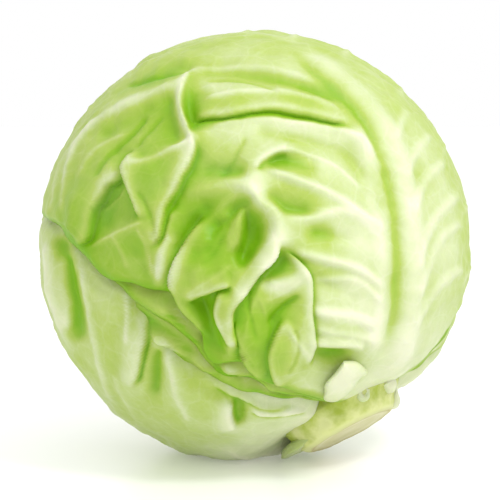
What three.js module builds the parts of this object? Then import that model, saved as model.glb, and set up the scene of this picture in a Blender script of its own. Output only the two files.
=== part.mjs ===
// A whole white cabbage head, as picked, lying on a small flat spot with its cut stalk low on the near right side.
// Every leaf is a thin closed shell wrapped round a tight heart. Units are millimetres and degrees, +Z is up,
// +X is to the right and -Y is towards the side that shows the big front leaf.
//
// Two sets of coordinates place things on the head, both about the middle of the ball:
// - [along, round]: degrees along a leaf from the stalk's axis, and degrees round that axis from the front leaf's rib;
// - [x, z] on the front: millimetres to the right and up, as in a front elevation.
import * as THREE from "three";

// The ball and the stalk
const HEAD_RADIUS = 85;
const STALK_AXIS = new THREE.Vector3(0.45, -0.3, -0.84).normalize();
const RIB_SIDE = new THREE.Vector3(0.72, -0.69, 0).projectOnPlane(STALK_AXIS).normalize();
const FAR_SIDE = new THREE.Vector3().crossVectors(STALK_AXIS, RIB_SIDE);
const HOLLOW_DEPTH = 16; // the leaves sink towards the stalk
const HOLLOW_ANGLE = 21;
const CUT_FACE_AT = 82.5; // along the stalk's axis, from the middle of the ball
const STALK_ROOT_AT = 59;
const FLAT_SPOT_AT = 82.2; // below the middle: the leaf is pressed flat where the head rests

// The leaves
const LEAF_THICKNESS = 1.6;
const LAYER_STEP = 2.8; // a leaf and the air under it
const COVER_FADE = 13; // how far outside a margin the leaf below comes up again
const HEART_DEPTH = 13.6; // from the ball's outside to the heart
const HEART_FLAT_AT = 56.5; // the heart stops short of the stalk's root
const LEAF_BASE = 18; // where every leaf starts, in degrees from the stalk's axis
const CREASE_WIDTH = 5.5;

const RAD = Math.PI / 180;
const MM_PER_DEGREE = HEAD_RADIUS * RAD;

// The head's leaves, from the outside in. left and right are the two margins as [along, round] points.
const LEAVES = [
  {
    name: "front_leaf",
    rib: 0, ribHeight: 3.2, columns: 36, rows: 24, tip: 168,
    left: [[18, 50], [27, 66], [41, 76], [55, 76], [73, 79], [86, 91], [97, 95], [108, 103], [125, 121],
      [140, 128], [155, 116], [168, 60]],
    right: [[18, -24], [21, -34], [27, -42], [33, -44], [38, -49], [43, -51], [53, -55], [75, -60], [100, -70],
      [125, -90], [145, -108], [158, -90], [168, -30]],
  },
  {
    name: "second_leaf",
    rib: 12, ribHeight: 0, columns: 16, rows: 14, tip: 150,
    left: [[18, 57], [27, 73], [41, 83], [55, 84], [73, 86], [84, 91], [97, 88], [120, 92], [140, 78], [150, 50]],
    right: [[18, -30], [25, -53], [33, -61], [44, -60], [55, -58], [70, -55], [100, -60], [140, -58], [150, -30]],
  },
  {
    name: "third_leaf",
    rib: 12, ribHeight: 0, columns: 16, rows: 12, tip: 140,
    left: [[18, 65], [27, 81], [34, 92], [41, 90], [50, 80], [60, 70], [100, 60], [140, 40]],
    right: [[18, -38], [25, -60], [31, -67], [38, -65], [46, -60], [60, -50], [100, -50], [140, -30]],
  },
  {
    name: "right_back_leaf",
    rib: -118, ribHeight: 2.6, columns: 20, rows: 18, tip: 165,
    left: [[18, -20], [30, -30], [60, -32], [100, -42], [135, -42], [152, -64], [165, -112]],
    right: [[18, -150], [30, -162], [45, -168], [60, -178], [90, -190], [120, -196], [142, -190], [158, -176],
      [165, -148]],
  },
  {
    name: "lower_leaf",
    rib: 166, ribHeight: 1.8, columns: 26, rows: 18, tip: 158,
    left: [[18, 232], [30, 240], [60, 245], [100, 252], [130, 250], [148, 226], [158, 190]],
    right: [[18, 51], [27, 55], [60, 55], [90, 60], [110, 70], [135, 98], [150, 124], [158, 150]],
  },
];
// The white base of an outermost leaf that was torn off. It lies over the front leaf.
const TORN_LEAF = {
  name: "torn_leaf_base",
  rib: 36, ribHeight: 0.6, columns: 8, rows: 5, tip: 31,
  left: [[18, 56], [24, 57], [29, 51], [31, 45]],
  right: [[18, 34], [24, 26], [29, 25], [31, 30]],
};
const TORN_LEAF_LIFT = 4.4;
const CROWN_LEAF_DEPTH = 0.8;
const CROWN_LEAF_EDGE = 128; // the small leaf that closes the head where the other tips meet

// Creases of the front leaf as [x, z] points on the front, each with the height it stands proud.
const CREASES = [
  { height: 3, points: [[-20, 49], [-6, 52], [14, 52], [34, 49], [42, 43]] },
  { height: 3.5, points: [[-26, 69], [-28, 53], [-25, 39], [-29, 23], [-36, 13]] },
  { height: 3, points: [[-57, 32], [-64, 24], [-67, 12], [-68, 1]] },
  { height: 3.2, points: [[-1, 22], [-16, 22], [-28, 2], [-34, -13], [-30, -25], [-20, -36]] },
  { height: 3.8, points: [[6, 15], [10, 2], [3, -9], [-6, -18], [-10, -27], [-12, -44]] },
  { height: 3.8, points: [[11, -1], [19, -9], [22, -21], [23, -44]] },
  { height: 2.6, points: [[11, -30], [5, -41], [7, -53]] },
  { height: 1.4, points: [[50, 3], [32, 10], [12, 12]] },
  { height: 1.4, points: [[52, -11], [38, -12], [25, -12]] },
  { height: 1.4, points: [[50, -28], [38, -30], [25, -30]] },
  { height: 1.6, points: [[40, 45], [22, 62], [-6, 71], [-30, 70]] },
];

// Remains of leaves that were trimmed off: tongues that stand out from the stalk's side. round and width are degrees
// round the stalk, reach is how far a tongue stands out, at is its height along the axis and drop its free end's dip.
const STUBS = [
  { name: "lower_leaf_stub", round: 160, width: 44, reach: 7, thick: 2.2, at: 78, drop: 0.3 },
  { name: "right_leaf_stub", round: -60, width: 42, reach: 8, thick: 2.2, at: 79, drop: 1.2 },
  { name: "small_leaf_stub", round: -3, width: 17, reach: 7.5, thick: 2.6, at: 80.5, drop: 0.6 },
  { name: "bud_stub", round: 19, width: 15, reach: 5.5, thick: 3.2, at: 80.5, drop: 0 },
];
const STUB_START = 22.7; // clear of the stalk's side

const COLOURS = { blade: 0xb9d97a, pale: 0xe6efc0, stalk: 0xe9e6b4 };

const smooth = (t) => {
  const s = Math.min(1, Math.max(0, t));
  return s * s * (3 - 2 * s);
};

// A point of the head from its two angles and its distance from the ball's middle.
function onHead(along, round, distance) {
  const a = along * RAD;
  const r = round * RAD;
  return STALK_AXIS.clone()
    .multiplyScalar(Math.cos(a))
    .addScaledVector(RIB_SIDE, Math.sin(a) * Math.cos(r))
    .addScaledVector(FAR_SIDE, Math.sin(a) * Math.sin(r))
    .multiplyScalar(distance);
}

// The two angles of a point. On the axis itself the angle round it is taken as 0.
function anglesOf(point) {
  const along = point.angleTo(STALK_AXIS) / RAD;
  const onAxis = Math.abs(90 - along) > 89.9;
  const round = onAxis ? 0 : Math.atan2(point.dot(FAR_SIDE), point.dot(RIB_SIDE)) / RAD;
  return [along, round];
}

// The ball's outside: a sphere that sinks into a hollow round the stalk.
const ballRadius = (along) => HEAD_RADIUS - HOLLOW_DEPTH * Math.exp(-((along / HOLLOW_ANGLE) ** 2));

// A margin's angle round the axis at one angle along it, straight from point to point.
function straightMarginAt(margin, along) {
  const next = margin.findIndex(([a]) => a >= along);
  if (next === 0) return margin[0][1];
  if (next < 0) return margin[margin.length - 1][1];
  const [a0, r0] = margin[next - 1];
  const [a1, r1] = margin[next];
  return THREE.MathUtils.mapLinear(along, a0, a1, r0, r1);
}

// The same with its corners rounded off, by averaging over a short stretch.
function marginAt(margin, along) {
  const steps = [-7, -3.5, 0, 3.5, 7];
  return steps.reduce((sum, step) => sum + straightMarginAt(margin, along + step), 0) / steps.length;
}

// How far one leaf covers a place: 1 under it, falling to 0 a little outside its margins.
function coverOf(leaf, along, round) {
  const turned = round + 360 * Math.round((leaf.rib - round) / 360);
  const across = Math.min(marginAt(leaf.left, along) - turned, turned - marginAt(leaf.right, along));
  const inside = Math.min(across * Math.sin(along * RAD), leaf.tip - along) * MM_PER_DEGREE;
  return smooth(1 + inside / COVER_FADE);
}

// The covers that lie over one leaf at a place, added up.
const coversOver = (order, along, round) =>
  LEAVES.slice(0, order).reduce((sum, leaf) => sum + coverOf(leaf, along, round), 0);

// Height of a rounded ridge along a line on the front, at one place.
function ridgeAt({ height, points }, place) {
  if (place.y > 0) return 0;
  const spot = new THREE.Vector3(place.x, place.z, 0);
  let nearest = Infinity;
  for (let i = 1; i < points.length; i++) {
    const line = new THREE.Line3(new THREE.Vector3(...points[i - 1], 0), new THREE.Vector3(...points[i], 0));
    nearest = Math.min(nearest, line.closestPointToPoint(spot, true, new THREE.Vector3()).distanceTo(spot));
  }
  return height * Math.exp(-((nearest / CREASE_WIDTH) ** 2));
}

// Ribs and creases standing proud of a leaf's blade.
function reliefOf(leaf, along, round, place) {
  const fromRib = (round - leaf.rib) * Math.sin(along * RAD) * MM_PER_DEGREE;
  const ribWidth = THREE.MathUtils.mapLinear(along, LEAF_BASE, leaf.tip, 9, 2);
  const fade = smooth((leaf.tip - along) / 40);
  const ribHeight = leaf.ribHeight * THREE.MathUtils.mapLinear(along, LEAF_BASE, leaf.tip, 1, 0.3);
  const middle = ribHeight * fade * Math.exp(-((fromRib / ribWidth) ** 2));
  const branchPhase = (along - 0.35 * Math.abs(fromRib)) / 17;
  const branches = 0.3 * leaf.ribHeight * fade * Math.max(0, Math.cos(2 * Math.PI * branchPhase)) ** 2;
  const creases = leaf.name === "front_leaf" ? CREASES.map((crease) => ridgeAt(crease, place)) : [0];
  return middle + branches + Math.max(...creases);
}

// The leaf is pressed flat where the head rests.
function restOnSpot(point, lift) {
  point.z = Math.max(point.z, lift - FLAT_SPOT_AT);
  return point;
}

// Joins an outer and an inner grid of points into one closed shell.
function shellOf(outer, inner) {
  const rows = outer.length;
  const columns = outer[0].length;
  const points = [...outer.flat(), ...inner.flat()];
  const out = (i, j) => i * columns + j;
  const into = (i, j) => (rows + i) * columns + j;
  const faces = [];
  const quad = (a, b, c, d) => faces.push(a, c, b, a, d, c);
  for (let i = 1; i < rows; i++)
    for (let j = 1; j < columns; j++) {
      quad(out(i - 1, j - 1), out(i - 1, j), out(i, j), out(i, j - 1));
      quad(into(i - 1, j - 1), into(i, j - 1), into(i, j), into(i - 1, j));
    }
  for (let i = 1; i < rows; i++) {
    quad(out(i - 1, 0), out(i, 0), into(i, 0), into(i - 1, 0));
    quad(out(i, columns - 1), out(i - 1, columns - 1), into(i - 1, columns - 1), into(i, columns - 1));
  }
  for (let j = 1; j < columns; j++) {
    quad(out(0, j), out(0, j - 1), into(0, j - 1), into(0, j));
    quad(out(rows - 1, j - 1), out(rows - 1, j), into(rows - 1, j), into(rows - 1, j - 1));
  }
  return new THREE.BufferGeometry().setFromPoints(points).setIndex(faces);
}

// One leaf: a grid from its base to its tip and from its right margin to its left one.
function leafGeometry(leaf, order, lift = 0) {
  const outer = [];
  const inner = [];
  for (let i = 0; i <= leaf.rows; i++) {
    const v = i / leaf.rows;
    const along = THREE.MathUtils.lerp(LEAF_BASE, leaf.tip, v);
    const outerRow = [];
    const innerRow = [];
    for (let j = 0; j <= leaf.columns; j++) {
      const u = j / leaf.columns;
      const round = THREE.MathUtils.lerp(marginAt(leaf.right, along), marginAt(leaf.left, along), u);
      const covers = coversOver(order, along, round);
      const radius = ballRadius(along) - LAYER_STEP * covers + lift;
      const margin = 1 - 0.45 * Math.max(Math.abs(2 * u - 1), v) ** 8;
      const bare = (1 - smooth(covers)) * smooth((1 - Math.abs(2 * u - 1)) / 0.12);
      const relief = bare * reliefOf(leaf, along, round, onHead(along, round, radius));
      outerRow.push(restOnSpot(onHead(along, round, radius + relief), 0));
      innerRow.push(restOnSpot(onHead(along, round, radius - LEAF_THICKNESS * margin), LEAF_THICKNESS));
    }
    outer.push(outerRow);
    inner.push(innerRow);
  }
  return shellOf(outer, inner);
}

// Moves every vertex of a geometry to where place(vertex) says.
function moveVertices(geometry, place) {
  const position = geometry.getAttribute("position");
  const vertex = new THREE.Vector3();
  for (let i = 0; i < position.count; i++) {
    const moved = place(vertex.fromBufferAttribute(position, i));
    position.setXYZ(i, moved.x, moved.y, moved.z);
  }
  return geometry;
}

// Turns a lathe, made about +Y, so that +Y lies along the stalk's axis.
const lathedAlongStalk = (profile, segments) =>
  new THREE.LatheGeometry(profile, segments).applyQuaternion(
    new THREE.Quaternion().setFromUnitVectors(new THREE.Vector3(0, 1, 0), STALK_AXIS),
  );

// The small leaf at the crown: a shallow cap under the other leaves' tips.
function crownLeafGeometry() {
  const RINGS = 5;
  const profile = [];
  for (let i = 0; i <= RINGS; i++) {
    const along = THREE.MathUtils.lerp(180, CROWN_LEAF_EDGE, i / RINGS) * RAD;
    profile.push(new THREE.Vector2(HEAD_RADIUS * Math.sin(along), HEAD_RADIUS * Math.cos(along)));
  }
  const inside = profile.map((p) => p.clone().multiplyScalar(1 - LEAF_THICKNESS / HEAD_RADIUS)).reverse();
  profile[0].x = 0;
  inside[inside.length - 1].x = 0;
  return moveVertices(lathedAlongStalk([...profile, ...inside], 22), (vertex) => {
    const [along, round] = anglesOf(vertex);
    const covers = coversOver(LEAVES.length, along, round);
    return vertex.setLength(vertex.length() - CROWN_LEAF_DEPTH - LAYER_STEP * covers);
  });
}

// The heart: the tightly packed inner leaves as one mass, flat where it meets the stalk's root.
function heartGeometry() {
  return moveVertices(new THREE.SphereGeometry(HEAD_RADIUS, 26, 16), (vertex) => {
    const [along] = anglesOf(vertex);
    const toFlat = along < 80 ? HEART_FLAT_AT / Math.cos(along * RAD) : Infinity;
    return vertex.setLength(Math.min(ballRadius(along) - HEART_DEPTH, toFlat));
  });
}

// The stalk's stump: widest where the leaves leave it, with a flat, slightly oval cut face.
function stalkGeometry() {
  const sides = [[0, STALK_ROOT_AT], [18.6, STALK_ROOT_AT], [20.6, 66], [22.3, 71.5], [21.2, 75],
    [20.2, 79], [20.4, CUT_FACE_AT - 0.8], [19.8, CUT_FACE_AT], [0, CUT_FACE_AT]];
  return lathedAlongStalk(sides.map(([r, at]) => new THREE.Vector2(r, at)), 32);
}

// A tongue of leaf base: rounded in outline and thinner towards its free end.
function stubGeometry({ round, width, reach, thick, at, drop }) {
  const ROWS = 4;
  const COLUMNS = 6;
  const outer = [];
  const inner = [];
  for (let i = 0; i <= ROWS; i++) {
    const v = i / ROWS;
    const outerRow = [];
    const innerRow = [];
    for (let j = 0; j <= COLUMNS; j++) {
      const across = (2 * j) / COLUMNS - 1;
      const outwards = STUB_START + reach * v * (1 - 0.55 * across ** 2);
      const angle = round + 0.5 * width * across * (1 - 0.35 * v * v);
      const side = onHead(90, angle, outwards);
      const height = at - drop * v * v - 0.25 * thick * across ** 2;
      outerRow.push(STALK_AXIS.clone().multiplyScalar(height).add(side));
      innerRow.push(STALK_AXIS.clone().multiplyScalar(height - thick * (1 - 0.5 * v)).add(side));
    }
    outer.push(outerRow);
    inner.push(innerRow);
  }
  return shellOf(outer, inner);
}

function matte(colour) {
  return new THREE.MeshStandardMaterial({ color: colour, roughness: 0.55, metalness: 0 });
}

function named(name, geometry, colour) {
  const mesh = new THREE.Mesh(geometry, matte(colour));
  mesh.name = name;
  return mesh;
}

const cabbage = new THREE.Group();
LEAVES.forEach((leaf, order) => cabbage.add(named(leaf.name, leafGeometry(leaf, order), COLOURS.blade)));
cabbage.add(named(TORN_LEAF.name, leafGeometry(TORN_LEAF, 0, TORN_LEAF_LIFT), COLOURS.pale));
cabbage.add(named("crown_leaf", crownLeafGeometry(), COLOURS.blade));
cabbage.add(named("heart", heartGeometry(), COLOURS.pale));
cabbage.add(named("stalk", stalkGeometry(), COLOURS.stalk));
STUBS.forEach((stub) => cabbage.add(named(stub.name, stubGeometry(stub), COLOURS.pale)));

// The part's own origin is on the resting surface, under the middle of the whole head.
const extent = new THREE.Box3().setFromObject(cabbage);
const middle = extent.getCenter(new THREE.Vector3());
cabbage.position.set(-middle.x, -middle.y, -extent.min.z);

export default cabbage;
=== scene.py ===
# %% [markdown]
# # A white cabbage head, leaf by leaf
#
# This lesson builds the looks of a cabbage head that lies on its side with the cut stalk low at the
# near right. The packed model already fixes where every leaf is. Here each leaf gets its ribs, folds,
# torn edges and waxy skin.
#
# All the making is done in millimetres about the middle of the head, because that is how a grower would
# measure it. One function at the end of the shape work turns millimetres into the frame's metres.

import bpy
import numpy as np
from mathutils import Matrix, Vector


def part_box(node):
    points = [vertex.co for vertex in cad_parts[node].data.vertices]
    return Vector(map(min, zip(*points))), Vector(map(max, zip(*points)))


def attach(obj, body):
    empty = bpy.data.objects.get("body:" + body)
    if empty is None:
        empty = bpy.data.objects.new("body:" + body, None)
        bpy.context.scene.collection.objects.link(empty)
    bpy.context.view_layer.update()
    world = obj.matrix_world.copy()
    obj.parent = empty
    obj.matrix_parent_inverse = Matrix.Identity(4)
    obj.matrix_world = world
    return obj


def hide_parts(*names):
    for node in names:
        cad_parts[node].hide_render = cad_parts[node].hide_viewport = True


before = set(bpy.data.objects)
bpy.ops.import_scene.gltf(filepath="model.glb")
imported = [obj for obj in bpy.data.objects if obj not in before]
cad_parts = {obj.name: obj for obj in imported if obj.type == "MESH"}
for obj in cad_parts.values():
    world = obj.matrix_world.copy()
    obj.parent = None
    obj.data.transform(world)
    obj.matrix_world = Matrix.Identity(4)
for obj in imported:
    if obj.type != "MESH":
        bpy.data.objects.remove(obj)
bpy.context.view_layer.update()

# %% [markdown]
# ## Two ways to say where a thing is
#
# A leaf grows from the stalk, so the natural way to place a rib is by two angles: how far along the
# leaf it is from the stalk's axis, and how far round that axis. Folds that a thumb pressed into the
# front have nothing to do with growth. They are easier to place as a painter would, by so many
# millimetres right and up on the front of the head. So the lesson keeps both, and can go from either to
# a place on the head.

# %% The middle of the head and the stalk's axis
MM = 0.001
HEAD_RADIUS = 85.0
REST_DEPTH = 82.2  # from the middle of the head down to the surface that it rests on
STALK_AXIS = np.array([0.45, -0.3, -0.84])
STALK_AXIS /= np.linalg.norm(STALK_AXIS)
RIB_SIDE = np.array([0.72, -0.69, 0.0])
RIB_SIDE -= STALK_AXIS * (RIB_SIDE @ STALK_AXIS)
RIB_SIDE /= np.linalg.norm(RIB_SIDE)
FAR_SIDE = np.cross(STALK_AXIS, RIB_SIDE)

heart_box = np.array(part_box("heart")) / MM
MIDDLE = np.append(heart_box.mean(axis=0)[:2], REST_DEPTH)
print("middle of the head, mm:", MIDDLE.round(1))

# %% [markdown]
# ### Angles along and around
#
# The outside of the head is a ball with one hollow, where the leaves fold in to meet the stalk. A bell
# curve of the angle from the stalk's axis makes the hollow, because it leaves no edge where it starts.

# %% The ball and its two angles
STALK_HOLLOW = 16  # how far the ball sinks at the stalk
HOLLOW_REACH = 21  # degrees


def ball_radius(along):
    """The head's outside: a ball that sinks into a hollow round the stalk."""
    return HEAD_RADIUS - STALK_HOLLOW * np.exp(-((along / HOLLOW_REACH) ** 2))


def direction(along, around):
    """Unit vectors for angles along a leaf and round the stalk's axis."""
    a, r = np.radians(along)[..., None], np.radians(around)[..., None]
    return np.cos(a) * STALK_AXIS + np.sin(a) * (np.cos(r) * RIB_SIDE + np.sin(r) * FAR_SIDE)


def angles(places):
    """The two angles of places round the middle of the head."""
    unit = places / np.linalg.norm(places, axis=-1, keepdims=True)
    along = np.degrees(np.arccos(np.clip(unit @ STALK_AXIS, -1, 1)))
    return along, np.degrees(np.arctan2(unit @ FAR_SIDE, unit @ RIB_SIDE))


print("radius at the stalk and at the crown, mm:", ball_radius(0.0), ball_radius(180.0).round(1))

# %% [markdown]
# ### The front as a viewer sees it
#
# The front's own measure is millimetres right and up of the head's middle, as seen from where a viewer
# stands. The way back, from the front to the head, follows a line of sight until it meets the ball.

# %% Millimetres right and up
VIEW_RISE = np.radians(5.5)
EYE_DISTANCE = 760.0
TO_EYE = np.array([0.0, -np.cos(VIEW_RISE), np.sin(VIEW_RISE)])
VIEW_RIGHT = np.array([1.0, 0.0, 0.0])
VIEW_UP = np.cross(TO_EYE, VIEW_RIGHT)


def front_place(places):
    """Millimetres right and up on the front, and how squarely the head faces the viewer there."""
    to_eye = TO_EYE * EYE_DISTANCE - places
    scale = EYE_DISTANCE / (EYE_DISTANCE - places @ TO_EYE)
    unit = places / np.linalg.norm(places, axis=-1, keepdims=True)
    facing = (unit * to_eye).sum(axis=-1) / np.linalg.norm(to_eye, axis=-1)
    return places @ VIEW_RIGHT * scale, places @ VIEW_UP * scale, facing


def from_front(right, up, lift=0.0):
    """The place on the head that the viewer sees at so many millimetres right and up."""
    target = right[..., None] * VIEW_RIGHT + up[..., None] * VIEW_UP
    ray = target - TO_EYE * EYE_DISTANCE
    ray /= np.linalg.norm(ray, axis=-1, keepdims=True)
    radius = np.full(right.shape, HEAD_RADIUS)
    for _ in range(6):  # the radius depends on the place, so it settles in a few rounds
        middle = EYE_DISTANCE * (ray @ TO_EYE)
        inside = np.maximum(middle**2 - EYE_DISTANCE**2 + radius**2, 0)
        places = TO_EYE * EYE_DISTANCE + ray * (-middle - np.sqrt(inside))[..., None]
        radius = ball_radius(angles(places)[0]) + lift
    return places


stalk_right, stalk_up, _ = front_place(STALK_AXIS * HEAD_RADIUS)
print("the stalk is", stalk_right.round(), "mm right and", -stalk_up.round(), "mm down on the front")

# %% [markdown]
# ## Camera first
#
# The head fills most of the view and shows no strong perspective, so it is seen with a long lens from
# well back, a little above level. Setting the camera first means that every look at the work is from
# the right place.

# %% Camera
SEEN_WIDTH = 198.15  # what the view takes in across, at the middle of the head
SENSOR = 36.0
AIM_RIGHT, AIM_UP = -1.8, -1.2  # the head sits slightly right of and above the middle of the view

camera_data = bpy.data.cameras.new("camera")
camera_data.sensor_width = SENSOR
camera_data.lens = SENSOR * EYE_DISTANCE / SEEN_WIDTH
camera_data.clip_end = 20  # metres
camera = bpy.data.objects.new("camera", camera_data)
bpy.context.scene.collection.objects.link(camera)
eye = MIDDLE + TO_EYE * EYE_DISTANCE + VIEW_RIGHT * AIM_RIGHT + VIEW_UP * AIM_UP
camera.location = eye * MM
camera.rotation_euler = (np.pi / 2 - VIEW_RISE, 0, 0)
bpy.context.scene.camera = camera
print("lens, mm:", round(camera_data.lens, 1))

# %% [markdown]
# ## Folds as crests and valleys
#
# The big front leaf was squeezed while it grew, so it is crumpled like stiff paper: sharp crests meet
# in a hub, with hollows between. Sculpting by hand would do it, but can't be rerun. Noise gives bumps,
# never these long crests. So each crest and valley is drawn as a line with a height, and a sheet is
# stretched over all of them at once, the way a tent hangs between its poles. Stretching is done coarse
# first and fine last, which is quick and even.
#
# Each point is millimetres right, millimetres up, and millimetres out of the head's plain roundness.

# %% Folds round the hub and over the lobes
FOLDS = {
    "crest up from the hub": [
        (-1.5, 21.5, 3.2), (-2.5, 24.5, 3), (-1, 27.5, 2.4), (1, 30.5, 1.2),
    ],
    "crest left from the hub": [
        (-1.5, 21.5, 3.2), (-3.5, 23, 3.4), (-11, 25, 2.4), (-16.5, 22.5, 2), (-20.5, 22, 1.8),
        (-25.5, 21, 1.2), (-33, 16, 0.5),
    ],
    "crest round the pocket": [
        (-1.5, 21.5, 3.2), (0, 18, 3.6), (3, 15.5, 3.2), (6.5, 15, 3.2), (8.5, 11, 3.4), (8.5, 6.5, 3.6),
        (9.5, 2.5, 3.4),
    ],
    "crest right from the pocket": [
        (6.5, 15, 3.2), (11.5, 11, 1.8), (18, 10.5, 1.2), (24, 11, 1), (29, 13, 0.8),
        (36.5, 13.5, 0.4),
    ],
    "inner side of the big diagonal ridge": [
        (6.5, 3.0, 3.2), (4.5, -1, 2.6), (-1.5, -6.5, 2.2), (-5, -11, 2),
    ],
    "middle of the big diagonal ridge": [
        (9.5, 2.5, 3.4), (6, -3.5, 3.4), (0.5, -8.5, 3.2), (-4, -14.5, 2.8), (-8, -19.5, 2.6),
        (-10.5, -25, 2.2), (-10.5, -31, 2),
    ],
    "hollow left of the hub": [
        (-19.5, 29.5, -0.6), (-16.5, 31.5, -0.8), (-11.5, 29.5, -0.8), (-5.5, 29.5, -0.4),
    ],
    "valley above the right crest": [
        (6, 20, 0.2), (12, 15, -0.8), (20, 14, -0.8),
    ],
    "crease below the left crest": [
        (-2, 18, 0.5), (-6, 15.5, -0.8), (-11, 11, -1.4), (-15.5, 6, -1.2), (-17.5, 3, -0.6),
    ],
    "small crest left of the pocket": [
        (-5, 14.5, 1.8), (-6.8, 8, 2.6), (-7, 1.5, 2.4), (-8.5, -2, 1.2),
    ],
    "pocket floor": [
        (-3.5, 13.5, -0.8), (-3, 7.5, -1.9), (-4, 1.5, -2.2), (-5.5, -3.5, -2), (-5.5, -7, -1.2),
    ],
    "pocket floor, right": [
        (0.5, 11.5, -0.2), (1.2, 7, -1.0), (0.5, 2.5, -1.3), (-1.5, -2.5, -1.2), (-3.5, -6, -0.8),
    ],
    "crest below the pocket": [
        (-10, -3.5, 1), (-8, -6, 1.6), (-5.5, -9, 2.2),
    ],
    "belly of the left lobe": [
        (-19, 3, 1.2), (-21, -4.5, 1.8), (-23, -12.5, 1.8),
    ],
    "second belly of the left lobe": [
        (-13, 3, 0.6), (-15.5, -6, 1.2), (-17, -13, 1.6),
    ],
    "valley left of the lobe": [
        (-19, 16, -1.4), (-24, 11, -2.2), (-28, 5.5, -1.6), (-31, -1, -0.8),
    ],
    "crease in the left lobe": [
        (-11, 12, 1.2), (-14, 6, 0.2), (-18.5, 0.5, 0), (-22, -5, 0.6),
    ],
    "long pale ridge": [
        (-31, 14, 0.8), (-34.5, 6.5, 1.4), (-36.5, -3, 1.6), (-37.5, -10, 1.4), (-38, -16, 0.8),
    ],
    "shaded dip under the diagonal ridge": [
        (11, -3.5, -0.8), (9.5, -7.5, -1.6), (5.5, -10, -1.4), (3, -13, -0.6),
    ],
    "dip's right side": [
        (13, -6, -0.6), (14.5, -9.5, -0.5),
    ],
    "pale ridge across the right lobes": [
        (1.5, -11.5, 0.6), (9.5, -14.5, 1.6), (15.5, -12.5, 1.6), (20.5, -10, 1.4),
    ],
    "belly of the middle lobe": [
        (-1, -21, 1.6), (-2.5, -31, 1.8), (0.5, -41, 1.6),
    ],
    "crease between the right lobes": [
        (17, -19.5, 0.2), (13, -22, -0.6), (8.5, -26, -0.8), (5.5, -30.5, -0.4),
    ],
    "belly of the right lobe": [
        (18.5, -28, 1.2), (17, -39, 1.6), (13.5, -49.5, 1.2),
    ],
    "pit floor": [
        (-21.5, -22, -2), (-20.5, -24, -2.4), (-18.5, -29.5, -1.8), (-16, -36, -1.2),
        (-13, -41.5, -0.8),
    ],
    "strip left of the pit": [
        (-27, -24, 0.8), (-25, -28, 0.8), (-21.5, -32, 0.6),
    ],
    "strand right of the pit": [
        (-12, -21, 2), (-12.5, -28, 2), (-10, -35.5, 1.8), (-10.5, -41.5, 1.4),
    ],
}
print("folds round the hub:", len(FOLDS))

# %% [markdown]
# ### Under the brow
#
# The leaf bulges over the hub like a brow. Under it lies a long pale ridge and a green hollow, and the
# side ribs fan out from the hub to the broad rib at the right. They rise and fall less than the folds
# of the lobes.

# %% Folds under the brow and along the side ribs
FOLDS |= {
    "white ridge under the brow": [
        (-17, 47, 0.6), (-11.5, 48, 0.9), (-1.5, 50.5, 1.2), (6.5, 50.5, 1.2), (17, 48, 1.3),
        (26.5, 47.5, 1.3), (33, 47, 1.3), (38, 45, 1.3), (43, 41, 1.2), (46.5, 37, 1),
        (49.5, 31.5, 0.8),
    ],
    "valley under the white ridge": [
        (2, 45.5, -0.4), (11.5, 44.5, -0.9), (24, 42, -1.2), (31.5, 40, -1.3), (36.5, 37.5, -1.4),
        (41.5, 31.5, -1.4), (45, 27.5, -1.2), (49.5, 15.5, -0.8),
    ],
    "green hollow": [
        (5, 34, -0.8), (8.5, 35.8, -1.5), (13, 35.2, -1.5), (18, 33.5, -1.2), (24, 30.5, -0.7),
    ],
    "edge of the green hollow": [
        (1, 31.5, 1), (4.5, 34.5, 0.8), (8.5, 37.5, 0.6), (15, 39, 0.5),
    ],
    "rib 1 right of the hub": [
        (0.5, 29.5, 2), (5.5, 28.5, 1.2), (13, 27.5, 1), (21, 24.5, 0.9), (28.5, 21, 0.8),
        (36.5, 17.5, 0.7), (44, 12.5, 0.5), (49.5, 7, 0.3),
    ],
    "rib 2": [
        (12, -2, 0.6), (18, -2.5, 0.9), (27, -4.5, 0.9), (40, -7.5, 0.7), (48, -13.5, 0.4),
    ],
    "dip between ribs": [
        (23, 5.5, -0.8), (28, 5, -0.9), (37, 3, -0.5),
    ],
    "dip below rib 2": [
        (25, -12.5, -0.7), (32, -17, -0.8), (40, -21, -0.4),
    ],
    "rib 3": [
        (23, -26, 0.4), (30, -27.5, 0.9), (36.5, -28.5, 0.8), (48, -32, 0.4),
    ],
    "rib 4": [
        (24.5, -38, 0.8), (30.5, -38, 1.2), (36.5, -37.5, 1.2), (44.5, -37, 0.6),
    ],
    "green pocket by the torn base": [
        (25, -42, -1.2), (29.5, -42.2, -2.2), (34.5, -42, -1.6), (32, -46, -1.2),
    ],
}
print("folds so far:", len(FOLDS))

# %% [markdown]
# ### The left sheet and the shoulder
#
# At the left the leaf is folded over itself as one big sheet, with a tongue that hangs over the blade
# behind it. Bellies keep the sheet and the tongue from looking flat between their creases.

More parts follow.
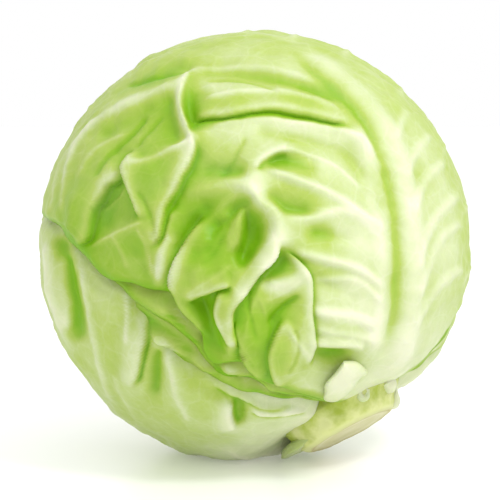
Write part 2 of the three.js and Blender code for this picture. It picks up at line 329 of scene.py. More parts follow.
# %% Folds of the left sheet and the shoulder
FOLDS |= {
    "crest of the left sheet, upper part": [
        (-25, 69.5, 0.7), (-27, 63, 1.3), (-29, 57, 1.6), (-28.5, 51.5, 1.5), (-26.5, 45, 1.6),
        (-23.5, 41, 2.2),
    ],
    "dip right of that crest": [
        (-21.5, 62, 0.2), (-25, 59, -0.4), (-26, 55, -1), (-25.5, 49.5, -1.4),
    ],
    "dip left of that crest": [
        (-33.5, 56.5, -0.5), (-32.5, 49.5, -0.6), (-31, 42.5, -0.3),
    ],
    "rib on the left sheet": [
        (-24, 40, 2), (-31.5, 38.5, 1.4), (-37.5, 35.5, 1.2), (-43, 32, 1.2), (-46.5, 31, 1.4),
        (-50, 29.5, 1.8),
    ],
    "belly of the left sheet": [
        (-37.5, 24.5, 1.2), (-40.5, 16.5, 1.2), (-41.5, 7.5, 1),
    ],
    "lateral rib, upper left": [
        (-28.5, 63, 1.5), (-37.5, 61, 1.2), (-46.5, 59, 1), (-58.5, 54, 0.8), (-66, 51, 0.4),
    ],
    "rib by the crown": [
        (-17.5, 75.5, 0.6), (-27, 75, 0.8), (-41.5, 73.5, 0.6), (-50.5, 70, 0.2),
    ],
    "dip between crown ribs": [
        (-25.5, 70, -0.2), (-37.5, 68, -0.5), (-47.5, 64.5, -0.5), (-56.5, 60, -0.3),
    ],
    "dip in the upper left blade": [
        (-41.5, 54.5, -0.5), (-51.5, 49.5, -0.6), (-61, 44.5, -0.5),
    ],
    "vein on the left shoulder": [
        (-73, 45, 0.5), (-75, 31.5, 0.6), (-76.5, 19.5, 0.7),
    ],
    "second vein on the left shoulder": [
        (-61, 47, 0.4), (-66, 38.5, 0.5), (-69, 27.5, 0.6),
    ],
    "belly of the tongue": [
        (-68.5, 20, 1.4), (-70.5, 14, 1.8), (-71.5, 6.5, 1.8),
    ],
    "blade behind the tongue": [
        (-55, 22.5, -1), (-58, 16, -1.2), (-59.5, 9, -1),
    ],
    "rib on the lower blade": [
        (-44, 10, 1), (-51.5, 6.5, 0.9), (-57.5, 3.5, 0.8), (-62.5, 1, 0.6), (-66, -2.5, 0.3),
    ],
    "lower blade": [
        (-56.5, -6, 0.4), (-49.5, -6, 0.5), (-42, -6, 0.3),
    ],
    "crease near the margin": [
        (-47, -1, -0.2), (-44, -8.5, -0.4), (-41.5, -14.5, -0.2),
    ],
}
print("folds so far:", len(FOLDS))

# %% [markdown]
# ### Over the crown
#
# Above the brow the leaf is smoother. Long low swells run from the broad rib over to the left shoulder.

# %% Swells over the crown
FOLDS |= {
    "rib over the crown": [
        (27, 63.5, 0.7), (9.5, 70, 1), (-13.5, 76, 0.8),
    ],
    "second rib over the crown": [
        (36, 53, 0.6), (21.5, 60, 1.2), (-2, 62, 1.2), (-19, 62.5, 0.8),
    ],
    "dip between those ribs": [
        (30, 57, -0.3), (15.5, 64.5, -0.6), (-5.5, 68.5, -0.6), (-19.5, 69.5, -0.3),
    ],
    "swell above the brow": [
        (32, 52.5, 0.8), (18, 56, 1.2), (4, 57, 1.4), (-11.5, 55, 1.2),
    ],
}
print("folds of the front leaf:", len(FOLDS))

# %% [markdown]
# ### The leaves below
#
# The pale leaf at the lower left has two deep creases, a dimple and flat swells between its veins. The
# two leaves between it and the front leaf show only as strips, rolled at their margins and crumpled
# beside the stalk.

# %% Folds of the lower leaf
LOWER_FOLDS = {
    "dip beside the crease": [(-38.2, -40.8, -0.6), (-39.8, -48.7, -2), (-40.2, -56, -1.6), (-40, -62, -0.4)],
    "swell left of the crease": [(-49, -34, 0.6), (-49.5, -44, 1.2), (-50.5, -52, 1.2), (-49, -60, 0.4)],
    "swell between": [(-42, -38, 0.9), (-43, -48, 0.8), (-44, -58, 0.4)],
    "swell over the middle": [(-34.3, -42.4, 1), (-32.7, -51.9, 1.2), (-31.1, -58.2, 1), (-27.9, -65.4, 0.4)],
    "dip before the left strip": [(-72, -10, -0.8), (-71, -22, -1), (-70, -32, -0.6)],
    "left strip": [(-80.5, -2, 1), (-79.5, -14, 1.5), (-77, -26, 1.2), (-74, -36, 0.5)],
    "dip between veins": [(-60, -22, -0.8), (-58, -36, -1), (-55, -50, -0.8)],
    "dimple": [(-5.9, -62.5, -1), (-6, -66, -2.2), (-5, -70, -1)],
    "crest over the dimple": [(-10.5, -60, 0.8), (-11, -66, 1.8), (-9, -72, 1)],
    "crest past the dimple": [(-3, -61.5, 0.6), (2, -64.5, 1.2), (8, -67.5, 0.6)],
    "dip under the margins": [(-25, -53, -0.6), (-18, -57, -0.8), (-12, -59.5, -0.5)],
    "line along the bottom": [(-36, -71, -0.3), (-21.6, -75.5, -0.9), (-9.7, -76.5, -0.9), (8, -71.5, -0.3)],
}
print("folds of the lower leaf:", len(LOWER_FOLDS))

# %% [markdown]
# ### The strips between
#
# A roll and the valley under it make the layered look at each margin.

# %% Folds of the two leaves between
UNDER_FOLDS = {
    "roll of the second leaf": [
        (-55, -15.5, 1), (-44, -22, 2.4), (-34, -27.5, 2.6), (-27, -34, 2.4), (-22, -40, 2),
    ],
    "valley under the roll": [(-45, -27, -0.8), (-37, -32.5, -1.2), (-30.5, -38, -1.2), (-26, -43, -1)],
    "roll of the third leaf": [
        (-42, -34.5, 1.4), (-37.5, -36.5, 2.6), (-31.5, -39.5, 2.4), (-26, -45, 2.2), (-19, -50.5, 2),
    ],
    "valley of the third leaf": [(-37, -39, -0.4), (-30, -43, -0.8), (-24, -48.5, -0.8), (-17, -53, -0.6)],
    "crumple by the lobes": [
        (-14, -49, -1), (-11, -50, 1.8), (-7, -51, -1), (-3, -53, 1.8), (1, -54.5, -0.8), (5, -56, 1.4),
    ],
    "crumple by the stalk": [(8, -57.5, 0.8), (12, -59, -0.8), (16, -59.5, 0.9), (20, -60, -0.4)],
}
print("folds of the strips:", len(UNDER_FOLDS))

# %% [markdown]
# ## Folds that hang over
#
# In some places the leaf doesn't just bend: one side lies over the other and keeps its shade in a thin
# dark gap. A height alone can't do that, so these lines also push the high side sideways, over the low
# one. Walking along a line in the order of its points, the low side is on the right. The three numbers
# are the high side's height, the low side's depth and the push, in millimetres.

# %% Overhanging edges
LIPS = {
    "upper crest": (1.2, 1.0, 0.7, [
        (-24.5, 42), (-26.5, 46), (-28.2, 51), (-28.8, 56), (-28, 61), (-26.5, 66), (-25, 70),
    ]),
    "brow": (2.2, 1.6, 2.4, [
        (-25.5, 45), (-25, 48.5), (-23, 51), (-17.5, 52), (-10, 51.5), (-1.5, 53.5), (6.5, 54),
        (13.5, 53), (21, 51.5), (28.5, 50), (34, 49), (38.5, 46),
    ]),
    "left sheet": (2.8, 2.4, 1.5, [
        (-40.5, -1.5), (-38.5, 2), (-37, 5.5), (-36.5, 8.5), (-35.5, 13), (-34.5, 16), (-30.5, 22),
        (-28.5, 27), (-26, 31.5), (-24, 36.5), (-23.5, 40), (-25, 43.5),
    ]),
    "tongue": (3.2, 2.6, 2.8, [
        (-70, 0.5), (-67.5, 1.5), (-65.5, 4.5), (-65, 8.5), (-64.5, 13.5), (-63, 17.5), (-60, 22.5),
        (-58, 26), (-55, 27.5), (-50.5, 29),
    ]),
    "tip over the tongue": (1.6, 1.2, 1.2, [
        (-47, 38.5), (-50, 33), (-51, 29.5), (-50, 25), (-48, 19.5), (-45.5, 14.5), (-44, 10),
    ]),
    "left lobe": (2.2, 1.6, 0.9, [
        (-19, 13.5), (-25, 6.5), (-29.5, -1.5), (-32, -8), (-33.5, -14), (-32.5, -18.5), (-29.5, -24),
        (-25, -29.5), (-20.5, -34), (-17, -37.5),
    ]),
    "diagonal ridge": (2.4, 1.8, 1.6, [
        (-5.5, -41), (-8.5, -33), (-9.5, -26), (-8, -22), (-4, -17.5), (-1, -13), (2, -9), (6.5, -5.5),
        (9, -1), (9.5, 2.5),
    ]),
    "right edge of the lobes": (1.8, 1.2, 1, [
        (21, -48), (23, -40), (22.5, -32.5), (21.5, -26), (22, -19.5), (22, -13), (19, -8), (14, -3.5),
        (10, -1),
    ]),
    "middle lobe": (1.6, 1.2, 1, [
        (-8, -28), (-7.5, -33.5), (-5.5, -37.5), (-5.5, -41), (-4, -46), (-0.5, -51), (4, -54),
    ]),
    "right lobe": (1.8, 1.2, 1.1, [
        (12, -27.5), (11, -29.5), (8.5, -33.5), (6, -39), (5.5, -43), (6.5, -49), (8.5, -54),
        (11.5, -56.5),
    ]),
    "edge over the pit": (1.8, 1.8, 1.2, [
        (-26.5, -22), (-24.5, -20), (-17.5, -17.5), (-13.5, -15.5), (-8.5, -14.5),
    ]),
    "strand over the pit": (1.4, 1.2, 0.8, [
        (-13, -15.5), (-15.5, -22.5), (-16, -26), (-14, -30.5), (-11.5, -35), (-9.5, -39.5),
    ]),
    "edge over the green hollow": (0.8, 1.2, 0.6, [
        (0, 29.5), (2.5, 33.5), (5.5, 35.5), (8.5, 37.5), (13.5, 38),
    ]),
}
print("overhanging edges of the front leaf:", len(LIPS))

# %% [markdown]
# ### Overhanging edges of the leaves below
#
# They are lower and shorter. Those beside the stalk stand for the many thin margins that lie on each
# other there.

# %% Overhanging edges below
LOWER_LIPS = {
    "crease": (1.8, 1.8, 1.2, [(-47.8, -55.5), (-45.4, -47.2), (-44.6, -40.8), (-42.2, -32.9), (-41.6, -25)]),
    "left strip": (1.4, 1.4, 1, [(-73.5, -34), (-73.1, -25), (-75.1, -17), (-75.9, -2)]),
    "dimple": (1, 1.4, 0.9, [(-7.3, -72), (-9.6, -67), (-9, -61)]),
    "layered edge": (1.3, 1.1, 1.1, [
        (-17, -54.5), (-11, -57.5), (-5.7, -59.8), (0, -62), (6.1, -63.3), (13, -63.5),
    ]),
    "layered edge by the stalk": (1.2, 1.0, 1.0, [(-3, -58.2), (4, -60.8), (10, -61.8), (18, -62.2)]),
    "lowest layered edge": (1.1, 0.8, 0.9, [(-2, -65), (4, -66.4), (10, -66.6), (16, -65.6), (21, -64.5)]),
}
UNDER_LIPS = {
    "edge of a fold": (1.4, 1.1, 1.1, [(-15, -47), (-9.5, -49.5), (-5.7, -51.1), (-1, -50.6), (2, -53.4)]),
    "curled edge": (1.3, 1.0, 1.0, [(-42, -37), (-37, -38.5), (-31, -41.5), (-24, -47), (-19, -51.5)]),
    "edge by the stalk": (1.3, 1.0, 1.0, [(-2, -55.5), (4, -57), (10, -57.4), (18, -60)]),
    "fold under the lobes": (0.9, 0.9, 0.8, [(-34, -23.5), (-29, -29), (-25, -34), (-21.5, -39.5)]),
}
print("overhanging edges below:", len(LOWER_LIPS) + len(UNDER_LIPS))

# %% [markdown]
# ## Ribs and veins that show
#
# Ribs are narrower than folds and keep one width, so each is a rounded ridge along its line: half
# width, height and paleness. A negative height is a groove, and a negative paleness makes it greener,
# which is painted shade in the groove.

# %% The broad rib and its side ribs
FRONT_RIBS = {
    "front rib": (4.2, 2.0, 0.14, [
        (15.5, 79.5), (28.5, 69), (40, 60), (48, 51.5), (55.5, 40), (59.5, 25), (62, 8.5), (63, -8.5),
        (62, -26), (58.5, -41), (54.5, -49.5), (51.5, -54.5),
    ]),
    "groove beside it": (1.9, -1.2, -0.3, [
        (11, 79.5), (23, 68), (34.5, 58.5), (43, 49), (49, 37.5), (53.5, 25), (56, 8.5),
        (56.5, -8.5), (55.5, -26), (52.5, -38), (49.5, -45.5),
    ]),
    "ridge left of the groove": (2.4, 0.9, 0.1, [
        (37, 51), (42, 42.5), (46, 25), (49, 8.5), (50.5, -8.5), (49, -26), (46, -39), (42, -46.5),
    ]),
    "side rib 1": (1.7, 0.9, 0.2, [
        (63, -10), (65.5, -1), (68, 6.5), (72, 13), (77.5, 18.5), (83, 22),
    ]),
    "side rib 2": (1.5, 0.7, 0.2, [
        (63, -21), (67.5, -9), (72.5, 3), (78.5, 8), (84.5, 10),
    ]),
    "side rib 3": (1.7, 0.9, 0.2, [
        (61, 12.5), (65, 22.5), (69.5, 29.5), (76, 34.5),
    ]),
    "side rib 4": (1.5, 0.7, 0.2, [
        (59, 26.5), (61.5, 34.5), (65.5, 41), (70.5, 45),
    ]),
    "side rib 5": (1.5, 0.8, 0.2, [
        (61.5, -33), (67, -23), (72.5, -15), (78.5, -10), (84, -8.5),
    ]),
    "side rib 6": (1.4, 0.6, 0.2, [
        (54.5, 41.5), (57, 48.5), (59.5, 53.5),
    ]),
}
print("ribs at the right:", len(FRONT_RIBS))

# %% [markdown]
# ### Veins of the left sheet and the shoulder
#
# The leaf is thinner here, and its veins are narrow pale lines. They follow the sheet over its folds.

# %% Veins of the left sheet and the shoulder
# Negative paleness in the creases here is painted shade.
FRONT_RIBS |= {
    "crest of the left sheet": (1.0, 1.5, 1, [
        (-24.5, 70), (-26, 66.5), (-27.6, 62), (-28.6, 56), (-28, 50), (-25.8, 45.5), (-24.2, 42), (-24, 36),
    ]),
    "rib across the left sheet": (1.2, 0.6, 0.7, [
        (-24, 41.1), (-33.9, 36.7), (-41.6, 33.4), (-49.5, 32),
    ]),
    "rib to the left shoulder": (1.3, 0.7, 0.6, [
        (-27.3, 63.1), (-39.4, 59.8), (-52.6, 55.4), (-63.6, 48.8), (-70.3, 43), (-74, 34),
    ]),
    "crease above it": (0.8, -0.8, -0.8, [
        (-52, 64), (-41.6, 65.9), (-33, 67.6), (-25, 68.8),
    ]),
    "crease to the tongue": (0.9, -0.9, -0.7, [
        (-42, 53), (-50.4, 42.2), (-55.9, 37.8), (-60.3, 30.1), (-62.5, 25.7),
    ]),
    "shoulder vein 1": (0.9, 0.5, 0.6, [
        (-60, 52), (-67, 46.6), (-72.5, 35.6), (-74.7, 24.6), (-74.1, 12),
    ]),
    "shoulder vein 2": (0.8, 0.4, 0.5, [
        (-71, 44), (-75.5, 35), (-78.5, 24.6), (-79.6, 12.5),
    ]),
    "shoulder vein 3": (0.8, 0.4, 0.5, [
        (-50, 45), (-58, 42), (-65, 35), (-69, 26),
    ]),
    "blade vein 1": (0.8, 0.5, 0.75, [
        (-66, -0.5), (-55.9, 4.8), (-48, 8), (-42, 9.5),
    ]),
    "blade vein 2": (0.7, 0.4, 0.5, [
        (-62, 14), (-55, 20), (-50, 25),
    ]),
    "blade vein 3": (0.7, 0.4, 0.6, [
        (-55.9, 4.8), (-52, -3), (-50, -9),
    ]),
    "blade vein 4": (0.7, 0.4, 0.6, [
        (-46, 8.5), (-42, -1), (-40.5, -12),
    ]),
    "pale ridge vein": (1.3, 0.6, 0.8, [
        (-31, 15), (-33.9, 11), (-36.1, -2), (-37.6, -10), (-38.5, -15),
    ]),
}
print("ribs and veins so far:", len(FRONT_RIBS))

# %% [markdown]
# ### Veins and fine creases of the lobes
#
# The lobes are the tenderest part, so their veins hardly rise. Fine creases cross them where the leaf
# was pinched.

# %% Veins and fine creases of the lobes
# Negative paleness in the creases here is painted shade.
FRONT_RIBS |= {
    "left lobe vein 1": (0.8, 0.5, 0.3, [
        (-5, 21), (-12, 17), (-19, 10), (-25, 1), (-29, -9), (-31, -17),
    ]),
    "left lobe vein 2": (0.7, 0.4, 0.25, [
        (-8, 13), (-13, 4), (-17, -4), (-24, -12),
    ]),
    "left lobe vein 3": (0.8, 0.5, 0.3, [
        (-8, -6), (-14, -11), (-21, -15), (-28, -19),
    ]),
    "middle lobe vein 1": (0.8, 0.5, 0.3, [
        (5, -9), (1, -18), (-3, -28), (-4, -38),
    ]),
    "middle lobe vein 2": (0.7, 0.4, 0.25, [
        (1, -18), (5, -28), (4, -40), (6, -50),
    ]),
    "right lobe vein 1": (0.9, 0.5, 0.3, [
        (12, -28), (15, -35), (19, -40), (22, -46),
    ]),
    "right lobe vein 2": (0.7, 0.4, 0.25, [
        (20, -10), (15, -16), (8, -20), (3, -22),
    ]),
    "right lobe crease": (0.8, -1.2, -0.7, [
        (17.5, -18.5), (13, -22.5), (8.5, -26.5), (5.5, -31),
    ]),
    "fine crease 1": (0.7, -0.8, -0.5, [
        (-10, 10), (-13, 3), (-16, -3), (-21, -8),
    ]),
    "fine crease 2": (0.7, -0.7, -0.5, [
        (-2, -14), (-3, -22), (-1, -31), (1, -37),
    ]),
    "fine crease 3": (0.7, -0.7, -0.5, [
        (15, -31), (17, -37), (16, -44), (12, -50),
    ]),
    "fine crease 4": (0.7, -0.7, -0.5, [
        (-46, 22), (-41, 16), (-39, 8), (-39.5, 1),
    ]),
    "fine crease 5": (0.7, -0.7, -0.5, [
        (-14, 27), (-9, 33), (-5, 40), (-3, 44),
    ]),
    "fine crease 6": (0.7, -0.6, -0.5, [
        (-36, 52), (-41, 47), (-45, 41), (-47, 38),
    ]),
    "fine crease 7": (0.7, -0.6, -0.4, [
        (10, 58), (0, 64), (-11, 66), (-20, 65),
    ]),
}
print("ribs and veins so far:", len(FRONT_RIBS))

# %% [markdown]
# ### Ribs above the brow and right of the hub
#
# Right of the hub the side ribs are thick and white. They run from the hub to the broad rib's foot.

# %% Ribs above the brow and right of the hub
FRONT_RIBS |= {
    "vein above the brow 1": (1.0, 0.6, 0.6, [
        (34, 52), (20, 58), (4, 60), (-10, 59.5), (-22, 57),
    ]),
    "vein above the brow 2": (0.9, 0.5, 0.5, [
        (26, 63), (12, 68.5), (-4, 71), (-20, 70.5), (-36, 67),
    ]),
    "line under the brow": (1.1, 0.6, 0.7, [
        (-19, 47.5), (-9, 48.8), (4, 50.3), (16, 48.5), (27, 47), (36, 44.8), (43, 40.5), (48, 33),
    ]),
    "line in the hollow's edge": (0.8, 0.5, 0.5, [
        (1, 30), (5, 34.5), (10, 37.8), (18, 38.6), (28, 35), (36, 30), (43, 22),
    ]),
    "left rib 1": (1.6, 1.1, 0.4, [
        (2.2, 30.5), (12.5, 27.3), (24.4, 23.4), (33.9, 18.6), (45, 10.7), (52.1, 4.4),
    ]),
    "left rib 2": (1.5, 0.7, 0.3, [
        (10, 12), (18, 10.7), (27.5, 12.3), (34, 14.5), (41, 12), (49, 4),
    ]),
    "left rib 3": (1.6, 1.1, 0.4, [
        (14, -1.5), (20, -3.4), (26, -4.8), (35.5, -6.7), (43.4, -9.9), (51, -17),
    ]),
    "left rib 4": (1.3, 0.7, 0.3, [
        (22, -13.1), (30.7, -13.1), (37, -12.3), (43.4, -14.7), (50, -23),
    ]),
    "left rib 5": (1.8, 1.3, 0.45, [
        (20.5, -25), (30.7, -25.8), (40.2, -27.3), (48, -32),
    ]),
    "left rib 6": (1.3, 0.7, 0.25, [
        (22, -32.1), (33.9, -33.7), (43.4, -35.3), (48, -37.5),
    ]),
    "left rib 7": (1.6, 1.2, 0.4, [
        (21, -37.5), (29.1, -38.8), (35.5, -37.6), (43, -39.5),
    ]),
}
print("ribs and veins of the front leaf:", len(FRONT_RIBS))

# %% [markdown]
# ### Veins and creases of the lower leaf
#
# Three long veins run down this leaf, with grooves beside the ones that stand highest.

# %% Ribs on the lower leaf
# Negative paleness paints shade into the grooves, creases and dimple of this leaf.
LOWER_RIBS = {
    "first vein": (0.9, 0.7, 0.55, [
        (-69.5, -3.5), (-69, -11), (-68.5, -23), (-64, -37.5), (-59, -58), (-54, -68),
    ]),
    "second vein": (0.9, 0.7, 0.65, [
        (-51, -17), (-51, -25), (-51, -35), (-50, -39),
    ]),
    "end of the second vein": (0.8, 0.5, 0.3, [
        (-56, -50), (-52, -60), (-46, -70),
    ]),
    "third vein": (0.9, 0.6, 0.5, [
        (-34.5, -39), (-32.5, -52), (-30.5, -60.5), (-25.5, -70.5),
    ]),
    "left ridge": (2.6, 1.3, 0.6, [
        (-82.5, 3.5), (-81, -9), (-80, -21), (-77, -33), (-72.5, -45.5),
    ]),
    "left groove": (2.8, -2, -0.7, [
        (-76.5, 6), (-76.5, -3), (-75, -15), (-73, -27), (-69, -39),
    ]),
    "crease": (1.6, -1.3, -0.6, [
        (-40, -24), (-42, -32), (-44, -38.5), (-45.5, -47), (-47.5, -54.5),
    ]),
    "second crease": (1.4, -1, -0.5, [
        (-37.5, -40.5), (-39.5, -43.5), (-40, -48.5), (-40, -59.5),
    ]),
    "dimple": (2.4, -1.3, -0.5, [
        (-9.5, -60), (-6.5, -63), (-7, -71.5),
    ]),
}
print("ribs and creases of the lower leaf:", len(LOWER_RIBS))

# %% [markdown]
# ## A drawing board
#
# All those lines are drawn on a board of half-millimetre cells that faces the viewer. The board holds
# one number in each cell: a height, a sideways push or a paleness. Every leaf then looks up its own
# places on the board.

# %% The board
CELL = 0.5
REACH = 96.0  # from the middle of the board to its sides
CELLS = int(2 * REACH / CELL)
cell_middles = (np.arange(CELLS) + 0.5) * CELL - REACH
BOARD_RIGHT, BOARD_UP = np.meshgrid(cell_middles, cell_middles)
NOTHING = np.zeros((CELLS, CELLS))
print("board cells:", CELLS, "by", CELLS)

# %% [markdown]
# ### Lines on the board
#
# A line is kept as a few points. Its corners are cut off before use, and then it is walked in short
# steps, so that every cell near it can find its own distance, its side of the line and its place along
# it.

# %% Lines on the board
def rounded(points, rounds=3):
    """A line through the same ends with its corners cut off, three times over."""
    line = np.array(points, float)
    for _ in range(rounds):
        a, b = line[:-1], line[1:]
        cut = np.stack([0.75 * a + 0.25 * b, 0.25 * a + 0.75 * b], axis=1).reshape(-1, line.shape[1])
        line = np.concatenate([line[:1], cut, line[-1:]])
    return line


def sampled(line, step=0.3):
    """Points every so many millimetres along a line, with how far along each is, from 0 to 1."""
    lengths = np.linalg.norm(np.diff(line[:, :2], axis=0), axis=1)
    run = np.concatenate([[0], np.cumsum(lengths)])
    at = np.linspace(0, run[-1], max(int(run[-1] / step), 2))
    return np.stack([np.interp(at, run, line[:, k]) for k in range(line.shape[1])], axis=1), at / run[-1]


def near_line(points, margin):
    """Cells near a line: where they are on the board, their distance, their side, their place along it."""
    line, along = sampled(rounded([p[:2] for p in points]), 0.35)
    low, high = line.min(axis=0) - margin, line.max(axis=0) + margin
    c0, r0 = np.clip(((low + REACH) / CELL).astype(int), 0, CELLS)
    c1, r1 = np.clip(((high + REACH) / CELL).astype(int) + 1, 0, CELLS)
    window = np.s_[r0:r1, c0:c1]
    off = np.stack([BOARD_RIGHT[window], BOARD_UP[window]], axis=-1)[:, :, None, :] - line
    nearest = (off**2).sum(axis=-1).argmin(axis=-1)
    off = np.take_along_axis(off, nearest[:, :, None, None], axis=2)[:, :, 0]
    tangent = np.gradient(line, axis=0)
    tangent /= np.linalg.norm(tangent, axis=1, keepdims=True)
    to_right = np.stack([tangent[:, 1], -tangent[:, 0]], axis=1)[nearest]
    side = np.sign((off * to_right).sum(axis=-1))
    return window, np.linalg.norm(off, axis=-1), side, along[nearest], to_right


brow_cells = near_line(LIPS["brow"][3], 2.0)[1] < 2.0
print("cells within 2 mm of the brow:", int(brow_cells.sum()))

# %% [markdown]
# ### Smoothing a board
#
# Three passes of a plain moving average come close to a soft round brush, and a running total makes
# each pass cheap.

# %% Smooth a board
def blurred(board, width):
    """The board smoothed by about so many millimetres."""
    reach = max(int(round(width / CELL)), 1)
    size = 2 * reach + 1
    for axis in (0, 1):
        for _ in range(3):
            padded = np.pad(board, [(reach, reach) if k == axis else (0, 0) for k in (0, 1)], mode="edge")
            total = np.cumsum(padded, axis=axis)
            first = np.zeros_like(np.take(total, [0], axis=axis))
            total = np.concatenate([first, total], axis=axis)
            upper = np.take(total, np.arange(size, size + board.shape[axis]), axis=axis)
            lower = np.take(total, np.arange(board.shape[axis]), axis=axis)
            board = (upper - lower) / size
    return board


blurred_step = blurred(np.sign(BOARD_UP), 2.0)
print("cells that a smoothed step slopes over:", int((np.abs(blurred_step[:, 0]) < 0.99).sum()))

# %% [markdown]
# ### The sheet over the poles
#
# Every free cell is moved again and again to the mean of its four neighbours, and cells on a line stay
# at the line's height. A small pull brings the sheet back to rest far from any line, so that a fold
# doesn't swell the whole head.

# %% Stretch a sheet over lines of given height
PASSES = 90  # at each of seven fineness levels
LEVELS = range(6, -1, -1)


def stretched(lines, rest=0.0, hold=28.0):
    """A board through all the lines, smooth between them, easing back to rest over the hold distance."""
    points = np.concatenate([sampled(np.array(line, float))[0] for line in lines])
    sheet = None
    for level in LEVELS:
        count = max(CELLS >> level, 4)
        size = 2 * REACH / count
        column, row = np.clip(((points[:, :2] + REACH) / size).astype(int), 0, count - 1).T
        spot = row * count + column
        hits = np.bincount(spot, minlength=count * count)
        fixed = hits > 0
        value = np.bincount(spot, points[:, 2], minlength=count * count)[fixed] / hits[fixed]
        if sheet is None:
            sheet = np.full((count, count), rest)
        else:
            index = np.arange(count) * sheet.shape[0] // count
            sheet = sheet[np.ix_(index, index)]
        pull = (size / hold) ** 2
        for _ in range(PASSES):
            ring = np.pad(sheet, 1, mode="edge")
            around = ring[:-2, 1:-1] + ring[2:, 1:-1] + ring[1:-1, :-2] + ring[1:-1, 2:]
            sheet = (around + pull * rest) / (4 + pull)
            sheet.flat[fixed] = value
    return sheet


folds = 1.7 * blurred(stretched(FOLDS.values()), 0.5)
lower_folds = 1.3 * blurred(stretched(LOWER_FOLDS.values()), 0.9)
under_folds = 1.2 * blurred(stretched(UNDER_FOLDS.values(), 0, 12), 0.6)
print("folds from", folds.min().round(1), "to", folds.max().round(1), "mm")

# %% [markdown]
# ### Steps for the overhanging edges
#
# Across an edge the height drops within about two millimetres. Away from it both sides ease back, the
# high side over a wider strip than the low one. Close to the edge the high side is pushed over the low
# side. The low side gets a line of painted shade, which the finish turns into a deeper green, and the
# high side a fainter painted highlight.

# %% Raise the overhanging edges
def soft_step(t):
    """0 below 0, 1 above 1 and a smooth rise between."""
    t = np.clip(t, 0, 1)
    return t * t * (3 - 2 * t)


def bell(distance, width):
    """1 at the middle, falling away on both sides."""
    return np.exp(-((distance / width) ** 2))


def faded_ends(along, share):
    """1 along most of a line, falling to 0 over a share of it at each end."""
    return soft_step(along / share) * soft_step((1 - along) / share)


def lips(lines):
    """Steps with one side pushed over the other: boards of height, sideways push and painted edge shade and
    highlight.
    """
    height, push, edge = np.zeros((CELLS, CELLS)), np.zeros((CELLS, CELLS, 2)), np.zeros((CELLS, CELLS))
    for high, low, over, points in lines.values():
        window, distance, side, along, to_right = near_line(points, 14)
        taper = faded_ends(along, 0.14)
        signed = distance * side  # below 0 on the high side
        upper = high * np.exp(np.minimum(signed, 0) / 5.0)
        lower = -low * np.exp(-np.maximum(signed, 0) / 3.5)
        step = soft_step((signed + 1.0) / 2.1)
        height[window] += taper * (upper * (1 - step) + lower * step)
        reach = bell(np.minimum(signed, 0), 2.6) * (1 - soft_step((signed + 0.7) / 2.0))
        push[window] += (taper * reach * over)[..., None] * to_right
        # Painted shade just on the low side of the line, and a fainter painted highlight on the high side.
        edge[window] += taper * (bell(signed - 0.9, 0.8) - 0.6 * bell(signed + 1.3, 1.0))
    return height, push, edge


lip_height, lip_push, lip_shade_and_highlight = lips(LIPS)
lower_lip_height, lower_lip_push, lower_lip_shade_and_highlight = lips(LOWER_LIPS)
under_lip_height, under_lip_push, under_lip_shade_and_highlight = lips(UNDER_LIPS)
print("edges of the front leaf stand up to", lip_height.max().round(1), "mm high")

# %% [markdown]
# ### Ribs, and everything together
#
# A rib is a bell curve across its line. The boards of folds, edges and ribs are then added up, one sum
# for the front leaf, one for the lower leaf and one for the strips between.

# %% Raise the ribs and add up the boards
def ridges(lines):
    """Ribs and grooves: a board of heights and one of paleness, below 0 for painted shade in grooves."""
    height, pale = np.zeros((CELLS, CELLS)), np.zeros((CELLS, CELLS))
    for width, out, paleness, points in lines.values():
        window, distance, _, along, _ = near_line(points, 4 * width)
        profile = faded_ends(along, 0.12) * bell(distance, width)
        height[window] += out * profile
        pale[window] += paleness * profile
    return height, pale


front_rib_height, front_rib_pale = ridges(FRONT_RIBS)
lower_rib_height, lower_rib_pale = ridges(LOWER_RIBS)
front_height = folds + 1.25 * lip_height + front_rib_height
lower_height = lower_folds + lower_lip_height + lower_rib_height
under_height = under_folds + under_lip_height
print("front leaf from", front_height.min().round(1), "to", front_height.max().round(1), "mm")

# %% [markdown]
# ### Crests and creases, and looking up a board
#
# A crest gets a painted highlight, paler, and a crease painted shade, dark green. Comparing a board
# with a smoother copy of itself finds both. A leaf's points seldom fall on a cell's middle, so they read
# a mix of the four nearest cells.

# %% Find crests and look up places
def crests(height):
    """Height above the surroundings: a painted highlight on crests and painted shade in creases, narrow ones
    most.
    """
    narrow = blurred(height, 0.5) - blurred(height, 1.5)
    return blurred(height, 0.8) - blurred(height, 3.5) + 1.2 * np.minimum(narrow, 0)


def look_up(board, right, up):
    """The board's value at places given in millimetres right and up, mixed between cells."""
    column = np.clip((right + REACH) / CELL - 0.5, 0, CELLS - 1.001)
    row = np.clip((up + REACH) / CELL - 0.5, 0, CELLS - 1.001)
    c, r = column.astype(int), row.astype(int)
    fc, fr = column - c, row - r
    if board.ndim == 3:
        fc, fr = fc[..., None], fr[..., None]
    near_row = board[r, c] * (1 - fr) + board[r + 1, c] * fr
    far_row = board[r, c + 1] * (1 - fr) + board[r + 1, c + 1] * fr
    return near_row * (1 - fc) + far_row * fc


hub = look_up(front_height, np.array([-1.5]), np.array([21.5]))[0]
print("the hub stands", hub.round(1), "mm out")
